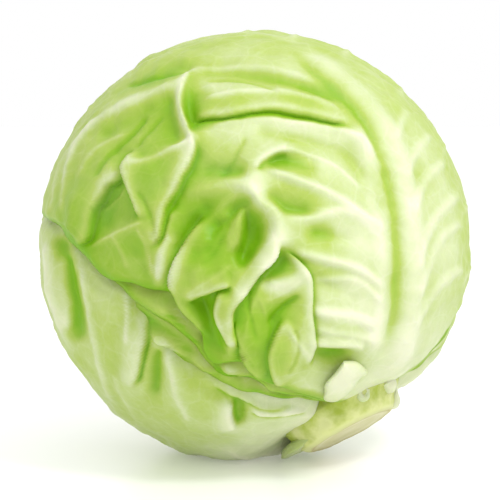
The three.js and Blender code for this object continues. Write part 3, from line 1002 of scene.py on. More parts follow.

# %% [markdown]
# ## How green, how pale
#
# A cabbage leaf is nearly white along its ribs and deep green in its pockets and at its margin. The
# colour is laid on the board the same way as the folds: a greenness at a few places, and a sheet
# stretched between them. In the pockets and under the brow the greenness is partly painted shade.

# %% Greenness at places
GREENNESS_AND_SHADE = [
    (14, 66, 0.35), (-5.5, 56.5, 0.6), (-42.5, 65.5, 0.8), (-26.5, 79, 0.6), (-7.5, 73.5, 0.45),
    (-57.5, 50.5, 0.6), (-49.5, 60, 0.45), (-71, 22.5, 0.72), (-69, 12.5, 0.85), (-53.5, -1, 0.8),
    (-63, 34.5, 0.6), (-77, 38.5, 0.35), (-80.5, 22.5, 0.4), (-29.5, 50.5, 0.8), (-19.5, 60, 0.65),
    (-37.5, 54.5, 0.7), (-37.5, 42.5, 0.7), (-27.5, 40.5, 0.35), (-45.5, 26.5, 0.75), (-35.5, 22.5, 0.7),
    (-41.5, 5, 0.6), (-55.5, 16.5, 0.75), (-53.5, 6.5, 0.7), (-5.5, 48.5, 0.35), (-15.5, 42.5, 0.4),
    (4, 48.5, 0.35), (-2, 38.5, 0.45), (-11.5, 30.5, 0.75), (-19.5, 32.5, 0.6), (-0.5, 22, 0.05),
    (-3, 1, 1), (-3.5, 10, 0.9), (-9, 20.5, 0.5), (-15.5, 16.5, 0.7), (-21.5, -5, 0.85),
    (-15.5, 5, 0.85), (-11.5, -6, 0.8), (-23.5, -15, 0.55), (0, -33, 0.65), (-2, -21, 0.6),
    (3, -43, 0.6), (18, -17, 0.55), (15, -41, 0.5), (18, -29, 0.6), (8, -21, 0.6),
    (18, -54.5, 0.4), (34, 3, 0.22), (22, 14.5, 0.5), (26, 32.5, 0.2), (11.5, 35.5, 0.75),
    (38, -21, 0.15), (30, -9, 0.22), (30, -43, 0.65), (61.5, -1, 0.3), (46.5, 6.5, 0.12),
    (55.5, -17, 0.3), (73.5, 18.5, 0.2), (77.5, -13, 0.15), (65.5, 38.5, 0.18), (82, 8.5, 0.35),
    (79.5, -33, 0.3), (57, -39, 0.22), (61.5, 54.5, 0.3), (46, 66, 0.3), (34, 70, 0.35),
    (18, 76, 0.4), (-35.5, 12.5, 0.4), (-34.5, 3, 0.3), (-36.5, -9, 0.3), (-25.5, 10, 0.7),
    (6, 3, 0.15), (3, -6, 0.15), (-5.5, -17, 0.25), (-13, -29, 0.55), (-19.5, -29, 0.8),
    (-10.5, -39, 0.5), (-41.5, -21, 0.75), (-57.5, -11, 0.8), (-35.5, -25, 0.75), (-21.5, -39, 0.7),
    (-9.5, -50.5, 0.65), (2, -57.5, 0.6),
]
print("places with a greenness:", len(GREENNESS_AND_SHADE))

# %% [markdown]
# ### Greenness along lines
#
# Pockets, pale ridges and the bands beside the overhanging edges are long, so they are lines of
# greenness. The bands under the overhanging edges are painted shade, and the pockets are partly the
# leaf's own green and partly painted shade. They are only smoothed a little, and so they can change the
# colour quickly where the leaf turns over.

# %% Greenness along lines
GREEN_AND_SHADE_LINES = [
    [(20.5, -46, 0.6), (22, -39, 0.62), (21.5, -32, 0.62), (20.5, -26, 0.66), (21, -19, 0.6),
     (20.5, -13, 0.6)],
    [(24, -46, 0.3), (25.5, -39, 0.22), (25, -32, 0.2), (24, -26, 0.2), (24.5, -19, 0.25), (24.5, -13, 0.25)],
    [(13.5, -3, 0.35), (12.5, 1, 0.3), (12, 6, 0.3)],
    [(10.5, -5, 0.85), (9.5, -8.5, 0.95), (6, -10.5, 0.8)],
    [(3, -15, 0.1), (9, -15.5, 0.12), (16, -13.5, 0.3)],
    [(-24, 49, 0.9), (-17, 50.5, 0.75), (-8, 50.5, 0.85), (7, 52.6, 0.9), (18, 51, 0.85), (30, 48, 0.8),
     (37, 45, 0.6)],
    [(-19, 46.5, 0.3), (-9, 47.3, 0.25), (4, 48.8, 0.15), (16, 47, 0.12), (27, 45.5, 0.15), (36, 43.5, 0.2)],
    [(-21.6, 62.2, 0.32), (-10, 60, 0.36), (4, 61, 0.38)],
    [(14, -33, 0.35), (17, -42, 0.4), (13, -49, 0.4)],
    [(-21, 14, 0.9), (-25, 9.5, 0.95), (-28, 5, 0.85)],
    [(-20, 4, 0.95), (-24, -5, 0.85), (-18, -9, 0.75)],
    [(30, 12.5, 0.32), (32, 8, 0.2), (40, 4, 0.1), (46, -2, 0.08)],
    [(69, 28, 0.34), (70, 24, 0.34)],
    [(67, -26, 0.3), (67.5, -31, 0.3)],
    [(54.5, 2, 0.3), (54.5, -10, 0.32), (53, -22, 0.28)],
    [(34, -17, 0.15), (42, -22, 0.08), (46, -34, 0.06)],
    [(72, 8, 0.18), (76, -2, 0.14), (74, 24, 0.25)],
    [(-27, 55, 0.75), (-28, 50, 0.75), (-25, 42, 0.7)],
    [(-64, 18, 1.0), (-66, 10, 1.0), (-67, 4, 1.0), (-70, 0, 0.95)],
    [(-61, 18, 0.7), (-62, 10, 0.75), (-63, 3, 0.7)],
    [(-33.5, 16, 0.85), (-35, 8, 0.85), (-37, 3, 0.8), (-40, -2, 0.7)],
    [(-4, -43, 0.9), (-7, -34, 0.95), (-7.5, -26, 0.95), (-3, -19, 0.85), (2, -12, 0.8)],
    [(9, -30, 0.85), (6.5, -38, 0.85), (6, -45, 0.85), (8, -53, 0.8)],
    [(-24, -22, 0.95), (-20, -26, 1.0), (-17, -33, 0.95), (-14, -39, 0.85)],
    [(10, 35.5, 0.85), (15, 34, 0.7), (23, 30.5, 0.55)],
    [(13, 15, 0.55), (22, 14.5, 0.5)],
    [(22, 5, 0.55), (30, 5.5, 0.5)],
    [(29, -10.5, 0.5), (34, -10, 0.4)],
    [(25, -41.8, 0.7), (30, -42.3, 0.85), (35, -41.8, 0.7), (31, -46.5, 0.6)],
]
green_and_shade_spots = [[spot, (spot[0] + 2, *spot[1:])] for spot in GREENNESS_AND_SHADE]
green_and_shade_board = blurred(stretched(green_and_shade_spots + GREEN_AND_SHADE_LINES, 0.45), 1.2)
print("greenness from", green_and_shade_board.min().round(2), "to", green_and_shade_board.max().round(2))

# %% [markdown]
# ## Leaves as shells round the head
#
# Each leaf is a thin shell that starts at the stalk and ends in a blunt tip. Its two margins are given
# by how far round the stalk they are at each angle along. Where one leaf covers the next, the lower one
# lies a layer deeper, and it rises again just outside the upper leaf's margin, which is what makes the
# layered edges near the stalk. The front leaf's left margin and the two below it show, so their middle
# stretches are drawn on the front, in millimetres right and up.

# %% Margins that show on the front
SEEN_MARGINS = {
    "front leaf": [
        (20.5, -59), (15.5, -58), (11.5, -56.5), (8, -54.5), (4, -54), (0, -51), (-3.5, -47),
        (-5.5, -43.5), (-9.5, -46), (-13.5, -47.5), (-17.5, -46.5), (-21, -42), (-20, -37.5),
        (-21.5, -33.5), (-25, -29.5), (-29.5, -24), (-32.5, -19), (-35.5, -17), (-38.5, -18),
        (-42, -17.5), (-45.5, -15.5), (-49.5, -14.5), (-53.5, -14), (-58, -13.5), (-62.5, -10.5),
        (-65, -6.5), (-68.5, -3), (-72, 1), (-76.5, 6.5), (-80.5, 10),
    ],
    "second leaf": [
        (19, -60.5), (9.5, -60), (6.5, -58.5), (3, -56), (-2, -53.5), (-7.5, -52.5), (-13, -51),
        (-18.5, -48.5), (-22, -44.5), (-25, -39.5), (-27, -36.5), (-30.5, -33), (-36.5, -29.5),
        (-41, -26), (-44, -24), (-48.5, -21), (-53.5, -17), (-57.5, -14.5),
    ],
    "third leaf": [
        (18, -62.5), (10.5, -62.5), (3.5, -60.5), (-2, -59), (-7.5, -58), (-13, -55.5), (-18, -53),
        (-22.5, -50.5), (-27, -46), (-32, -41), (-37.5, -39.5), (-40.5, -37.5), (-42, -35), (-43, -31),
        (-45.5, -27.5), (-49.5, -23.5),
    ],
}


def on_leaf(name):
    """A drawn margin as [along, around] rows, from the stalk outwards."""
    right, up = rounded(SEEN_MARGINS[name], 2).T
    along, around = angles(from_front(right, up))
    order = np.argsort(along)
    return np.stack([along[order], around[order]], axis=1)


print("the front leaf's margin starts at", on_leaf("front leaf")[0].round(), "degrees along and around")

# %% [markdown]
# ### The leaves, from the outside in
#
# Each leaf has its rib's angle round the stalk, its rib's height, the angle along at its tip, the
# fineness of its grid, and its two margins as angles along and around.

# %% The leaves
LEAVES = {
    "front_leaf": dict(
        rib=0, rib_height=0, tip=168, rows=294, columns=324,
        left=[[16, 40], *on_leaf("front leaf"), [125, 121], [140, 128], [152, 118], [161, 92], [168, 50]],
        right=[[16, -20], [21, -23], [27, -23], [30, -25], [33, -28], [38, -33], [43, -38], [48, -45],
               [55, -53], [75, -60], [100, -70], [125, -90], [145, -108], [158, -90], [168, -30]],
    ),
    "second_leaf": dict(
        rib=12, rib_height=0, tip=150, rows=150, columns=150,
        left=[[16, 48], *on_leaf("second leaf"), [97, 88], [120, 92], [140, 78], [150, 50]],
        right=[[16, -28], [25, -34], [29, -34], [33, -37], [40, -44], [46, -51], [55, -60], [70, -62],
               [100, -60], [140, -58], [150, -30]],
    ),
    "third_leaf": dict(
        rib=12, rib_height=0, tip=140, rows=132, columns=132,
        left=[[16, 52], *on_leaf("third leaf"), [100, 60], [140, 40]],
        right=[[16, -34], [25, -45], [29, -44], [33, -48], [40, -56], [46, -62], [60, -62], [100, -50],
               [140, -30]],
    ),
    "right_back_leaf": dict(
        rib=-118, rib_height=2.6, tip=165, rows=210, columns=192,
        left=[[16, -20], [30, -30], [60, -32], [100, -42], [135, -42], [152, -64], [165, -112]],
        right=[[16, -150], [30, -162], [45, -168], [60, -178], [90, -190], [120, -196], [142, -190],
               [158, -176], [165, -148]],
    ),
    "lower_leaf": dict(
        rib=166, rib_height=1.8, tip=158, rows=228, columns=252,
        left=[[16, 232], [30, 240], [60, 245], [100, 252], [130, 250], [148, 226], [158, 190]],
        right=[[16, 51], [27, 55], [60, 55], [90, 60], [110, 70], [135, 98], [150, 124], [158, 150]],
    ),
}
ORDER = list(LEAVES)
print("outermost first:", ORDER)

# %% [markdown]
# ### Wandering, and what covers what
#
# Living things never run quite straight. A few sine waves in random directions, drawn from a fixed
# seed, wander in the same way at each run. The covers count how many leaves lie over a place, and fade
# out past each margin.

# %% Wandering and covers
LAYER_STEP = 2.8  # how much deeper a leaf lies under each leaf that covers it
COVER_FADE = 11.0
LEAF_BASE = 16.5  # degrees from the stalk's axis to where a leaf starts
MM_PER_DEGREE = HEAD_RADIUS * np.pi / 180
STEPS = np.linspace(LEAF_BASE, 180, 500)


def wave(places, length, seed):
    """Smooth, even-handed wandering between -1 and 1 with swells about so many millimetres long."""
    draw = np.random.default_rng(seed)
    total = 0
    for _ in range(7):
        way = draw.normal(size=3)
        way *= 2 * np.pi / (length * draw.uniform(0.75, 1.5) * np.linalg.norm(way))
        total = total + np.sin(places @ way + draw.uniform(0, 2 * np.pi))
    return total / 3.5


def smoothed(values, width):
    """A list of numbers evened out over about so many neighbours on each side."""
    reach = np.arange(-3 * width, 3 * width + 1)
    weight = np.exp(-((reach / width) ** 2))
    padded = np.pad(values, 3 * width, mode="edge")
    return np.convolve(padded, weight / weight.sum(), mode="valid")


def margins(leaf, along, evenness=4):
    """The right and left margins' angles round the axis."""
    lines = [np.interp(STEPS, *np.array(leaf[side], float).T) for side in ("right", "left")]
    return [np.interp(along, STEPS, smoothed(line, evenness)) for line in lines]


def cover_of(name, along, around):
    """1 under a leaf, falling to 0 a little outside its margins."""
    leaf = LEAVES[name]
    turned = around + 360 * np.round((leaf["rib"] - around) / 360)
    right, left = margins(leaf, along)
    across = np.minimum(left - turned, turned - right) * np.sin(np.radians(along))
    inside = np.minimum(across, leaf["tip"] - along) * MM_PER_DEGREE
    return soft_step(1 + inside / COVER_FADE)


hub_along, hub_around = angles(from_front(np.array([-1.5]), np.array([21.5])))
hub_covers = sum(cover_of(name, hub_along, hub_around) for name in ORDER)
print("leaves that reach over the hub:", hub_covers[0].round(1))

# %% [markdown]
# ## Veins where no fold was drawn
#
# The back and the crown show ordinary leaves: one rib from the stalk, side ribs that leave it at a
# slant and bend towards the tip, and smaller veins between them. A formula in the leaf's own two angles
# draws all of them.

# %% Veins by formula
CROWN_VEINS = dict(rib=60, rib_height=1.2, tip=180)


def grown_veins(leaf, along, around):
    """Height and paleness of a leaf's own ribs."""
    if leaf is CROWN_VEINS:  # its middle is the crown itself, so its rib runs straight across
        turn, from_crown = np.radians(around - leaf["rib"]), 180 - along
        along, across = 100 + from_crown * np.cos(turn), from_crown * np.sin(turn) * MM_PER_DEGREE
    else:
        turned = around + 360 * np.round((leaf["rib"] - around) / 360)
        across = (turned - leaf["rib"]) * np.sin(np.radians(along)) * MM_PER_DEGREE
    grown = np.clip((along - LEAF_BASE) / (leaf["tip"] - LEAF_BASE), 0, 1)
    rib = np.exp(-((across / (7.5 - 5.5 * grown)) ** 2)) * (1 - 0.75 * grown)
    wander = 2.5 * np.sin(along / 11 + leaf["rib"]) + 1.5 * np.sin(across / 9)
    slant = along * MM_PER_DEGREE - 0.75 * np.abs(across) + 0.0045 * across**2 + wander
    side_of_rib = np.where(across > 0, 0.5, 0.0)
    phase = slant / 27 + side_of_rib
    from_vein = np.abs(phase - np.round(phase)) * 27
    vein_width = np.clip(2.2 - np.abs(across) / 45, 0.7, None)
    reach = soft_step(np.abs(across) / 5) * np.clip(1.15 - np.abs(across) / 95, 0, 1)
    side = np.exp(-((from_vein / vein_width) ** 2)) * reach
    small_phase = (slant * 0.6 + np.abs(across) * 1.1 + 2.2 * np.sin(slant / 6 + across / 14)) / 12
    small = np.exp(-((np.abs(small_phase - np.round(small_phase)) * 11 / 0.8) ** 2)) * (1 - side) * reach
    blister = 0.5 * np.sin(slant / 5.5 + 1.3 * np.sin(across / 12)) * np.sin(across / 8 + 0.6) * reach
    height = leaf["rib_height"] * rib + 0.75 * side + 0.18 * small + blister
    return height, np.clip(rib + 0.5 * side + 0.14 * small, 0, 1)


crown_rib = grown_veins(CROWN_VEINS, np.array([150.0]), np.array([60.0]))[0]
print("a rib near the crown stands", crown_rib.round(2), "mm high")

# %% [markdown]
# ## From lines to a leaf
#
# A leaf's outer skin is a fine grid, so that crests of a millimetre or two are real shape and not only
# shading. Its inner skin hardly shows, so every sixth point is enough there, and a strip of triangles
# joins the two round the margin. The margin is thin and slightly frilled, as on a real leaf.

# %% The grid that a leaf is made on
CROWN_REACH = 52  # degrees from the crown to the margin of the small leaf that closes it
CROWN_POINTS = 151  # along each side of its grid
EVEN_OUT = 24  # steps of along that the inside of a grid is evened out over


def leaf_grid(name):
    """Angles along and around at each point of a leaf's grid, and millimetres to its nearest margin."""
    if name == "crown_leaf":
        side = np.linspace(-1, 1, CROWN_POINTS)
        far, near = np.meshgrid(side, side, indexing="ij")
        far, near = far * np.sqrt(1 - near**2 / 2), near * np.sqrt(1 - far**2 / 2)
        from_crown = np.hypot(far, near)
        margin = CROWN_REACH * (1 - from_crown) * MM_PER_DEGREE
        return 180 - CROWN_REACH * from_crown, np.degrees(np.arctan2(far, near)), margin
    leaf = LEAVES[name]
    v = np.linspace(0, 1, leaf["rows"] + 1)[:, None]
    u = np.linspace(0, 1, leaf["columns"] + 1)[None, :]
    along = LEAF_BASE + (leaf["tip"] - LEAF_BASE) * v + 0 * u
    right, left = margins(leaf, along)
    even_right, even_left = margins(leaf, along, EVEN_OUT)
    around = even_right + (even_left - even_right) * u  # the margins' wandering is kept to the last quarter
    around = around + (left - even_left) * soft_step(4 * u - 3) + (right - even_right) * soft_step(1 - 4 * u)
    across = np.minimum(around - right, left - around) * np.sin(np.radians(along))
    margin = np.minimum(across, leaf["tip"] - along) * MM_PER_DEGREE
    return along, around, np.clip(margin, 0, None)


print("points of the front leaf:", leaf_grid("front_leaf")[0].size)

# %% [markdown]
# ### Shape noted at each point
#
# On the front the boards take over from the formula, fading in where the skin turns to face the front.
# Each leaf keeps only the part of a board that lies in the open.

# %% Relief of a leaf
DRAWN = {
    "front_leaf": (front_height, front_rib_pale, crests(front_height), lip_push, lip_shade_and_highlight),
    "second_leaf": (under_height, NOTHING, crests(under_height), under_lip_push, under_lip_shade_and_highlight),
    "third_leaf": (under_height, NOTHING, crests(under_height), under_lip_push, under_lip_shade_and_highlight),
    "lower_leaf": (lower_height, lower_rib_pale, crests(lower_height), lower_lip_push, lower_lip_shade_and_highlight),
}


def relief(name, along, around, right, up, seen):
    """Height, paleness, crests, sideways push and painted edge shade and highlight at each point of a leaf.
    """
    height, pale = grown_veins(LEAVES.get(name, CROWN_VEINS), along, around)
    crest, push, edge = np.zeros_like(along), np.zeros((*along.shape, 2)), np.zeros_like(along)
    if name in DRAWN:
        boards = [look_up(board, right, up) for board in DRAWN[name]]
        height = height + (boards[0] - height) * seen
        pale = pale + (boards[1] - pale) * seen
        crest = boards[2] * seen
        push = boards[3] * seen[..., None]
        edge = boards[4] * seen
    return height, pale, crest, push, edge


print("leaves with drawn relief:", list(DRAWN))

# %% [markdown]
# ### Where a leaf's outer skin lies
#
# A leaf lies deeper by one layer for each leaf over it. Where it is covered it is plain, because
# nothing of it shows. Towards its margin its relief eases off, and the margin itself is frilled.

# %% A leaf's outer skin
SWELLS = [(0.4, 34, 0), (0.3, 11, 20), (0.13, 5, 30)]  # height and length in mm, and a seed's offset
FRILL_HEIGHT, FRILL_LENGTH, FRILL_SEED = 0.9, 12, 40
MARGIN_SINK = 0.7  # a margin lies this much closer to the leaf under it
MARGIN_WIDTH = 4.5


def at_margin(height, margin, along, plain, seed):
    """Relief that eases off towards the margin, with a frill along the margin itself."""
    frill = FRILL_HEIGHT * wave(plain, FRILL_LENGTH, seed + FRILL_SEED) - MARGIN_SINK
    frill = np.exp(-margin / MARGIN_WIDTH) * frill * soft_step((along - 24) / 10)
    return height * soft_step(0.35 + margin / 6) + frill


def leaf_skin(name):
    """A grid of places on a leaf's outer skin, with what its paint needs to know at each."""
    along, around, margin = leaf_grid(name)
    above = ORDER[: ORDER.index(name)] if name in ORDER else ORDER
    covers = sum((cover_of(upper, along, around) for upper in above), np.zeros_like(along))
    bare = 1 - soft_step(2 * covers - 1)
    out = direction(along, around)
    plain = out * (ball_radius(along) - LAYER_STEP * covers)[..., None]
    right, up, facing = front_place(plain)
    seen = soft_step((facing - 0.12) / 0.25)
    height, pale, crest, push, edge = relief(name, along, around, right, up, seen)
    for swell, length, offset in SWELLS:
        height = height + swell * wave(plain, length, len(above) + offset)
    height = bare * at_margin(height, margin, along, plain, len(above))
    green = np.full_like(along, 0.5)
    if name == "front_leaf":
        green = green + (look_up(green_and_shade_board, right, up) - 0.5) * soft_step((facing - 0.05) / 0.55)
    else:  # a valley in the front leaf presses the leaves under it down as well
        hollow = np.minimum(look_up(front_height, right, up), 0) * seen
        height = height + cover_of("front_leaf", along, around) * hollow
    push = push * bare[..., None]
    skin = plain + out * height[..., None] + push[..., :1] * VIEW_RIGHT + push[..., 1:] * VIEW_UP
    skin[..., 2] = np.maximum(skin[..., 2], -REST_DEPTH)
    pale = np.clip(pale, -1, 1)
    return skin, dict(green=green, pale=pale, crest=crest, edge=edge * bare, margin=margin, along=along)


third_depth = np.linalg.norm(leaf_skin("third_leaf")[0], axis=-1)
print("third leaf lies", third_depth.min().round(1), "to", third_depth.max().round(1), "mm from the middle")

# %% [markdown]
# ### Closing a skin into a shell
#
# Both skins are grids of squares. The strip between them joins a fine rim to a coarse one, so each
# coarse point takes a fan of fine ones.

# %% Faces of a shell
def grid_faces(rows, columns, start=0, flip=False):
    """Squares between the points of a grid."""
    index = start + np.arange((rows + 1) * (columns + 1)).reshape(rows + 1, columns + 1)
    corners = [index[:-1, :-1], index[1:, :-1], index[1:, 1:], index[:-1, 1:]]
    if flip:
        corners = corners[::-1]
    return np.stack(corners, axis=-1).reshape(-1, 4)


def rim_of(rows, columns, start=0):
    """The points round a grid's edge, once round, in the order that its squares use."""
    index = start + np.arange((rows + 1) * (columns + 1)).reshape(rows + 1, columns + 1)
    return np.concatenate([index[:-1, 0], index[-1, :-1], index[:0:-1, -1], index[0, :0:-1]])


def bridge(fine, coarse, share):
    """Triangles between a fine closed line and a coarse one with a point for each share of its points."""
    faces = []
    count = len(coarse)
    for k, point in enumerate(fine):
        after = fine[(k + 1) % len(fine)]
        near = int((k + 0.5) / share + 0.5) % count
        faces.append((after, point, coarse[near]))
        following = int((k + 1.5) / share + 0.5) % count
        if following != near:
            faces.append((after, coarse[near], coarse[following]))
    return faces


print("squares in a grid of 6 by 4:", len(grid_faces(6, 4)), "and points round it:", len(rim_of(6, 4)))

# %% [markdown]
# ### The inner skin, and a piece from points and faces
#
# The inner skin follows the lowest point nearby, so that it never comes through a deep valley of the
# outer one.

# %% A closed shell from an outer skin
LEAF_THICKNESS = 1.3
INNER_EVERY = 6
RIM_INSET = 2  # the inner skin stops short of the margin, which leaves the margin thin


def inner_skin(skin, margin, thickness):
    """A coarse inner skin that never comes through the outer one, however deep its valleys are."""
    depth = np.linalg.norm(skin, axis=-1)
    lowest = depth.copy()
    for axis in (0, 1):
        stack = [np.roll(lowest, shift, axis) for shift in range(-INNER_EVERY, INNER_EVERY + 1)]
        lowest = np.min(stack, axis=0)
    picked = [np.clip(np.arange(0, n, INNER_EVERY), RIM_INSET, n - 1 - RIM_INSET) for n in margin.shape]
    coarse = np.ix_(*picked)
    thick = thickness * (0.4 + 0.6 * soft_step(margin / 12))  # thinner towards the margin
    target = np.minimum(lowest + 0.3, depth)[coarse] - thick[coarse]
    inner = skin[coarse] * (target / depth[coarse])[..., None]
    inner[..., 2] = np.maximum(inner[..., 2], -REST_DEPTH + thickness)
    return inner


def shell(skin, inner):
    """Points and faces of a closed shell from a fine outer grid and a coarse inner one."""
    rows, columns = skin.shape[0] - 1, skin.shape[1] - 1
    few_rows, few_columns = inner.shape[0] - 1, inner.shape[1] - 1
    start = (rows + 1) * (columns + 1)
    faces = grid_faces(rows, columns).tolist()
    faces += grid_faces(few_rows, few_columns, start, flip=True).tolist()
    outer_rim, inner_rim = rim_of(rows, columns), rim_of(few_rows, few_columns, start)
    faces += bridge(outer_rim.tolist(), inner_rim.tolist(), rows // few_rows)
    return np.concatenate([skin.reshape(-1, 3), inner.reshape(-1, 3)]), faces


print("a leaf is", LEAF_THICKNESS, "mm thick in its middle and 0.4 of that at its margin")

# %% [markdown]
# ### One piece
#
# Every piece goes the same way from points and faces to an object: notes for its paint, one finish, the
# body it moves with and the packed part it stands in for.

# %% Make one piece
def make_piece(name, points, faces, paint, finish, node):
    """One object from points in millimetres about the middle of the head, standing in for a CAD node."""
    mesh = bpy.data.meshes.new(name)
    mesh.from_pydata(((points + MIDDLE) * MM).tolist(), [], faces)
    mesh.polygons.foreach_set("use_smooth", np.ones(len(mesh.polygons), bool))
    for key, values in paint.items():
        layer = mesh.attributes.new(key, "FLOAT", "POINT")
        layer.data.foreach_set("value", np.ascontiguousarray(values, np.float32).ravel())
    mesh.materials.append(finish)
    mesh.validate()
    piece = bpy.data.objects.new(name, mesh)
    bpy.context.scene.collection.objects.link(piece)
    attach(piece, "root")
    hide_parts(node)
    print(name, "faces:", len(mesh.polygons))
    return piece


# %% [markdown]
# ## Writing a finish as arithmetic
#
# A leaf's colour is a sum of small things: its greenness, minus paleness along the ribs, plus some
# mottling. Wiring that by hand takes dozens of nodes. One small class lets the sums be written as sums,
# and adds a Math node for each sign. Any other node comes from its one method.

# %% A wire that does sums
def pick(sockets, key):
    """A socket by number or name, and the one in use where several share a name."""
    found = sockets[key]
    return found if found.enabled else next(s for s in sockets if s.name == found.name and s.enabled)


def fill_sockets(node, values):
    """Sets a node's sockets, each to a plain value or to a wire."""
    for key, value in values.items():
        if isinstance(value, Wire):
            node.id_data.links.new(value.socket, pick(node.inputs, key))
        else:
            pick(node.inputs, key).default_value = value


class Wire:
    """A socket whose value flows on through a finish's nodes."""

    def __init__(self, socket):
        self.socket = socket

    def node(self, kind, settings, inputs, output=0):
        """Adds a node to the same finish: its settings first, then its sockets."""
        made = self.socket.id_data.nodes.new(kind)
        for key, value in settings.items():
            if key == "stops":
                set_stops(made.color_ramp.elements, value)
            else:
                setattr(made, key, value)
        fill_sockets(made, inputs)
        return Wire(pick(made.outputs, output))

    def sum_with(self, operation, first, second):
        return self.node("ShaderNodeMath", {"operation": operation}, {0: first, 1: second})

    def __add__(self, other):
        return self.sum_with("ADD", self, other)

    def __sub__(self, other):
        return self.sum_with("SUBTRACT", self, other)

    def __rsub__(self, other):
        return self.sum_with("SUBTRACT", other, self)

    def __mul__(self, other):
        return self.sum_with("MULTIPLY", self, other)

    def above(self, floor):
        return self.sum_with("MAXIMUM", self, floor)

    def below(self, ceiling):
        return self.sum_with("MINIMUM", self, ceiling)

    def between(self, low, high):
        """0 at low, 1 at high and smooth between."""
        inputs = {"Value": self, "From Min": low, "From Max": high}
        return self.node("ShaderNodeMapRange", {"interpolation_type": "SMOOTHSTEP"}, inputs)

    __radd__ = __add__
    __rmul__ = __mul__


print("a wire has:", ", ".join(key for key in vars(Wire) if not key.startswith("_")))

# %% [markdown]
# ### Ramps, mixes and noise
#
# A ramp turns a number into a colour, a mix lays one colour over another, and noise is cloudy. Each is
# the same one method with the settings filled in.

# %% Ramps, mixes and noise
def set_stops(elements, stops):
    """Sets a ramp's stops, each a position and a linear colour."""
    while len(elements) < len(stops):
        elements.new(0.5)
    for element, (position, colour) in zip(elements, stops):
        element.position = position
        element.color = (*colour, 1)


def ramp(amount, stops):
    """A colour ramp through the stops."""
    return amount.node("ShaderNodeValToRGB", {"stops": stops}, {0: amount})


def blend(amount, first, second):
    """Mixes two colours, each a wire or three numbers."""
    first, second = [c if isinstance(c, Wire) else (*c, 1) for c in (first, second)]
    inputs = {"Factor": amount, "A": first, "B": second}
    return amount.node("ShaderNodeMix", {"data_type": "RGBA"}, inputs, "Result")


def noted(place, name):
    """What the shape work noted at each point under a name."""
    return place.node("ShaderNodeAttribute", {"attribute_name": name}, {}, "Fac")


def noise(place, size, detail=3.0, roughness=0.5):
    """Cloudy noise between 0 and 1 with clouds about so many millimetres across."""
    inputs = {"Vector": place, "Scale": 1 / (size * MM), "Detail": detail, "Roughness": roughness}
    return place.node("ShaderNodeTexNoise", {}, inputs, "Fac")


def new_finish(name):
    """An empty finish: its Principled shader and the place that its patterns hang on."""
    finish = bpy.data.materials.new(name)
    finish.use_nodes = True
    shader = finish.node_tree.nodes["Principled BSDF"]
    place = Wire(shader.outputs[0]).node("ShaderNodeTexCoord", {}, {}, "Object")
    return finish, shader, place


print("finishes so far:", len(bpy.data.materials))

# %% [markdown]
# ## The waxy skin of a leaf
#
# A cabbage leaf lets light in a little way and scatters it, which is why its shaded folds glow green
# and never go grey. Its skin is satin with a thin wax. Finer veins make a net between the ribs, too
# small to be worth shape, so they are a pattern that tints the skin and lifts it a few hundredths of a
# millimetre.

# %% The net of small veins
NETS = [(95.0, 0.07, 0.7), (330.0, 0.1, 0.35)]  # meshes to a metre, a vein's width and its strength


def vein_net(place):
    """A wide net of small veins and a finer one inside it, both bent a little."""
    wobble = place.node("ShaderNodeTexNoise", {}, {"Vector": place, "Scale": 90.0}, "Color")
    sockets = {0: wobble, 1: (0.004, 0.004, 0.004), 2: place}
    bent = place.node("ShaderNodeVectorMath", {"operation": "MULTIPLY_ADD"}, sockets, "Vector")
    net = 0
    for scale, width, strength in NETS:
        sockets = {"Vector": bent, "Scale": scale}
        gap = place.node("ShaderNodeTexVoronoi", {"feature": "DISTANCE_TO_EDGE"}, sockets, "Distance")
        net = (1 - gap.between(0.0, width)) * strength + net
    return net


print("nets:", len(NETS), "with meshes of about", [round(1 / (scale * MM)) for scale, _, _ in NETS], "mm")

# %% [markdown]
# ### From notes to a colour
#
# Every influence is added to one number, from 0 for white flesh to 1 for the deepest green, and a ramp
# turns it into a colour. Ribs take green away, and so does the painted highlight on crests and above an
# overhanging edge. Painted shade in creases, grooves and under an edge adds some, and so does the margin.

# %% How green the skin is
# Some of these strengths paint shade into grooves, creases and under edges, and a highlight on crests.
MOTTLE, GRAIN, NET = 0.30, 0.08, 0.05
RIB, GROOVE_SHADE = 0.32, 0.3
CREST_HIGHLIGHT, CREASE_SHADE = 0.17, 0.16
EDGE_SHADE_AND_HIGHLIGHT, MARGIN_GREEN, BASE_PALE = 0.36, 0.26, 0.32


def greenness(place, shift, grain, net):
    """All influences on the greenness, added up."""
    pale, crest, along = noted(place, "pale"), noted(place, "crest"), noted(place, "along")
    near_margin = 1 - noted(place, "margin").between(0.0, 5.0)
    near_stalk = 1 - along.between(20.0, 52.0)
    green = noted(place, "green") + shift + (noise(place, 16) - 0.5) * MOTTLE + grain * GRAIN - net * NET
    # Below, a negative paleness paints shade in grooves, the crest board a highlight on crests and shade in
    # creases, and the edge board shade under an overhanging edge with a highlight above it.
    green = green - pale.above(0.0) * RIB - pale.below(0.0) * GROOVE_SHADE
    green = green - crest.above(0.0).below(1.2) * CREST_HIGHLIGHT - crest.below(0.0).above(-2.0) * CREASE_SHADE
    green = green + noted(place, "edge") * EDGE_SHADE_AND_HIGHLIGHT + near_margin * MARGIN_GREEN
    return green - near_stalk * (1 - near_margin) * BASE_PALE


print("a full rib is", RIB, "paler and a full crest", round(1.2 * CREST_HIGHLIGHT, 2))

# %% [markdown]
# ### The whole skin
#
# The colours run from the cream of a rib's flesh through pale yellow-green to a full leaf green. A
# patchy bloom of wax makes the skin a little paler and rougher where it lies.

# %% Leaf finish
FLESH = (0.71, 0.73, 0.52)
PALE = (0.55, 0.62, 0.33)
LIGHT = (0.385, 0.495, 0.095)
MIDDLE_GREEN = (0.25, 0.42, 0.024)
DEEP = (0.18, 0.39, 0.005)
BLOOM = (0.592, 0.644, 0.435)
LEAF_STOPS = [(0.0, FLESH), (0.25, PALE), (0.5, LIGHT), (0.75, MIDDLE_GREEN), (1.0, DEEP)]


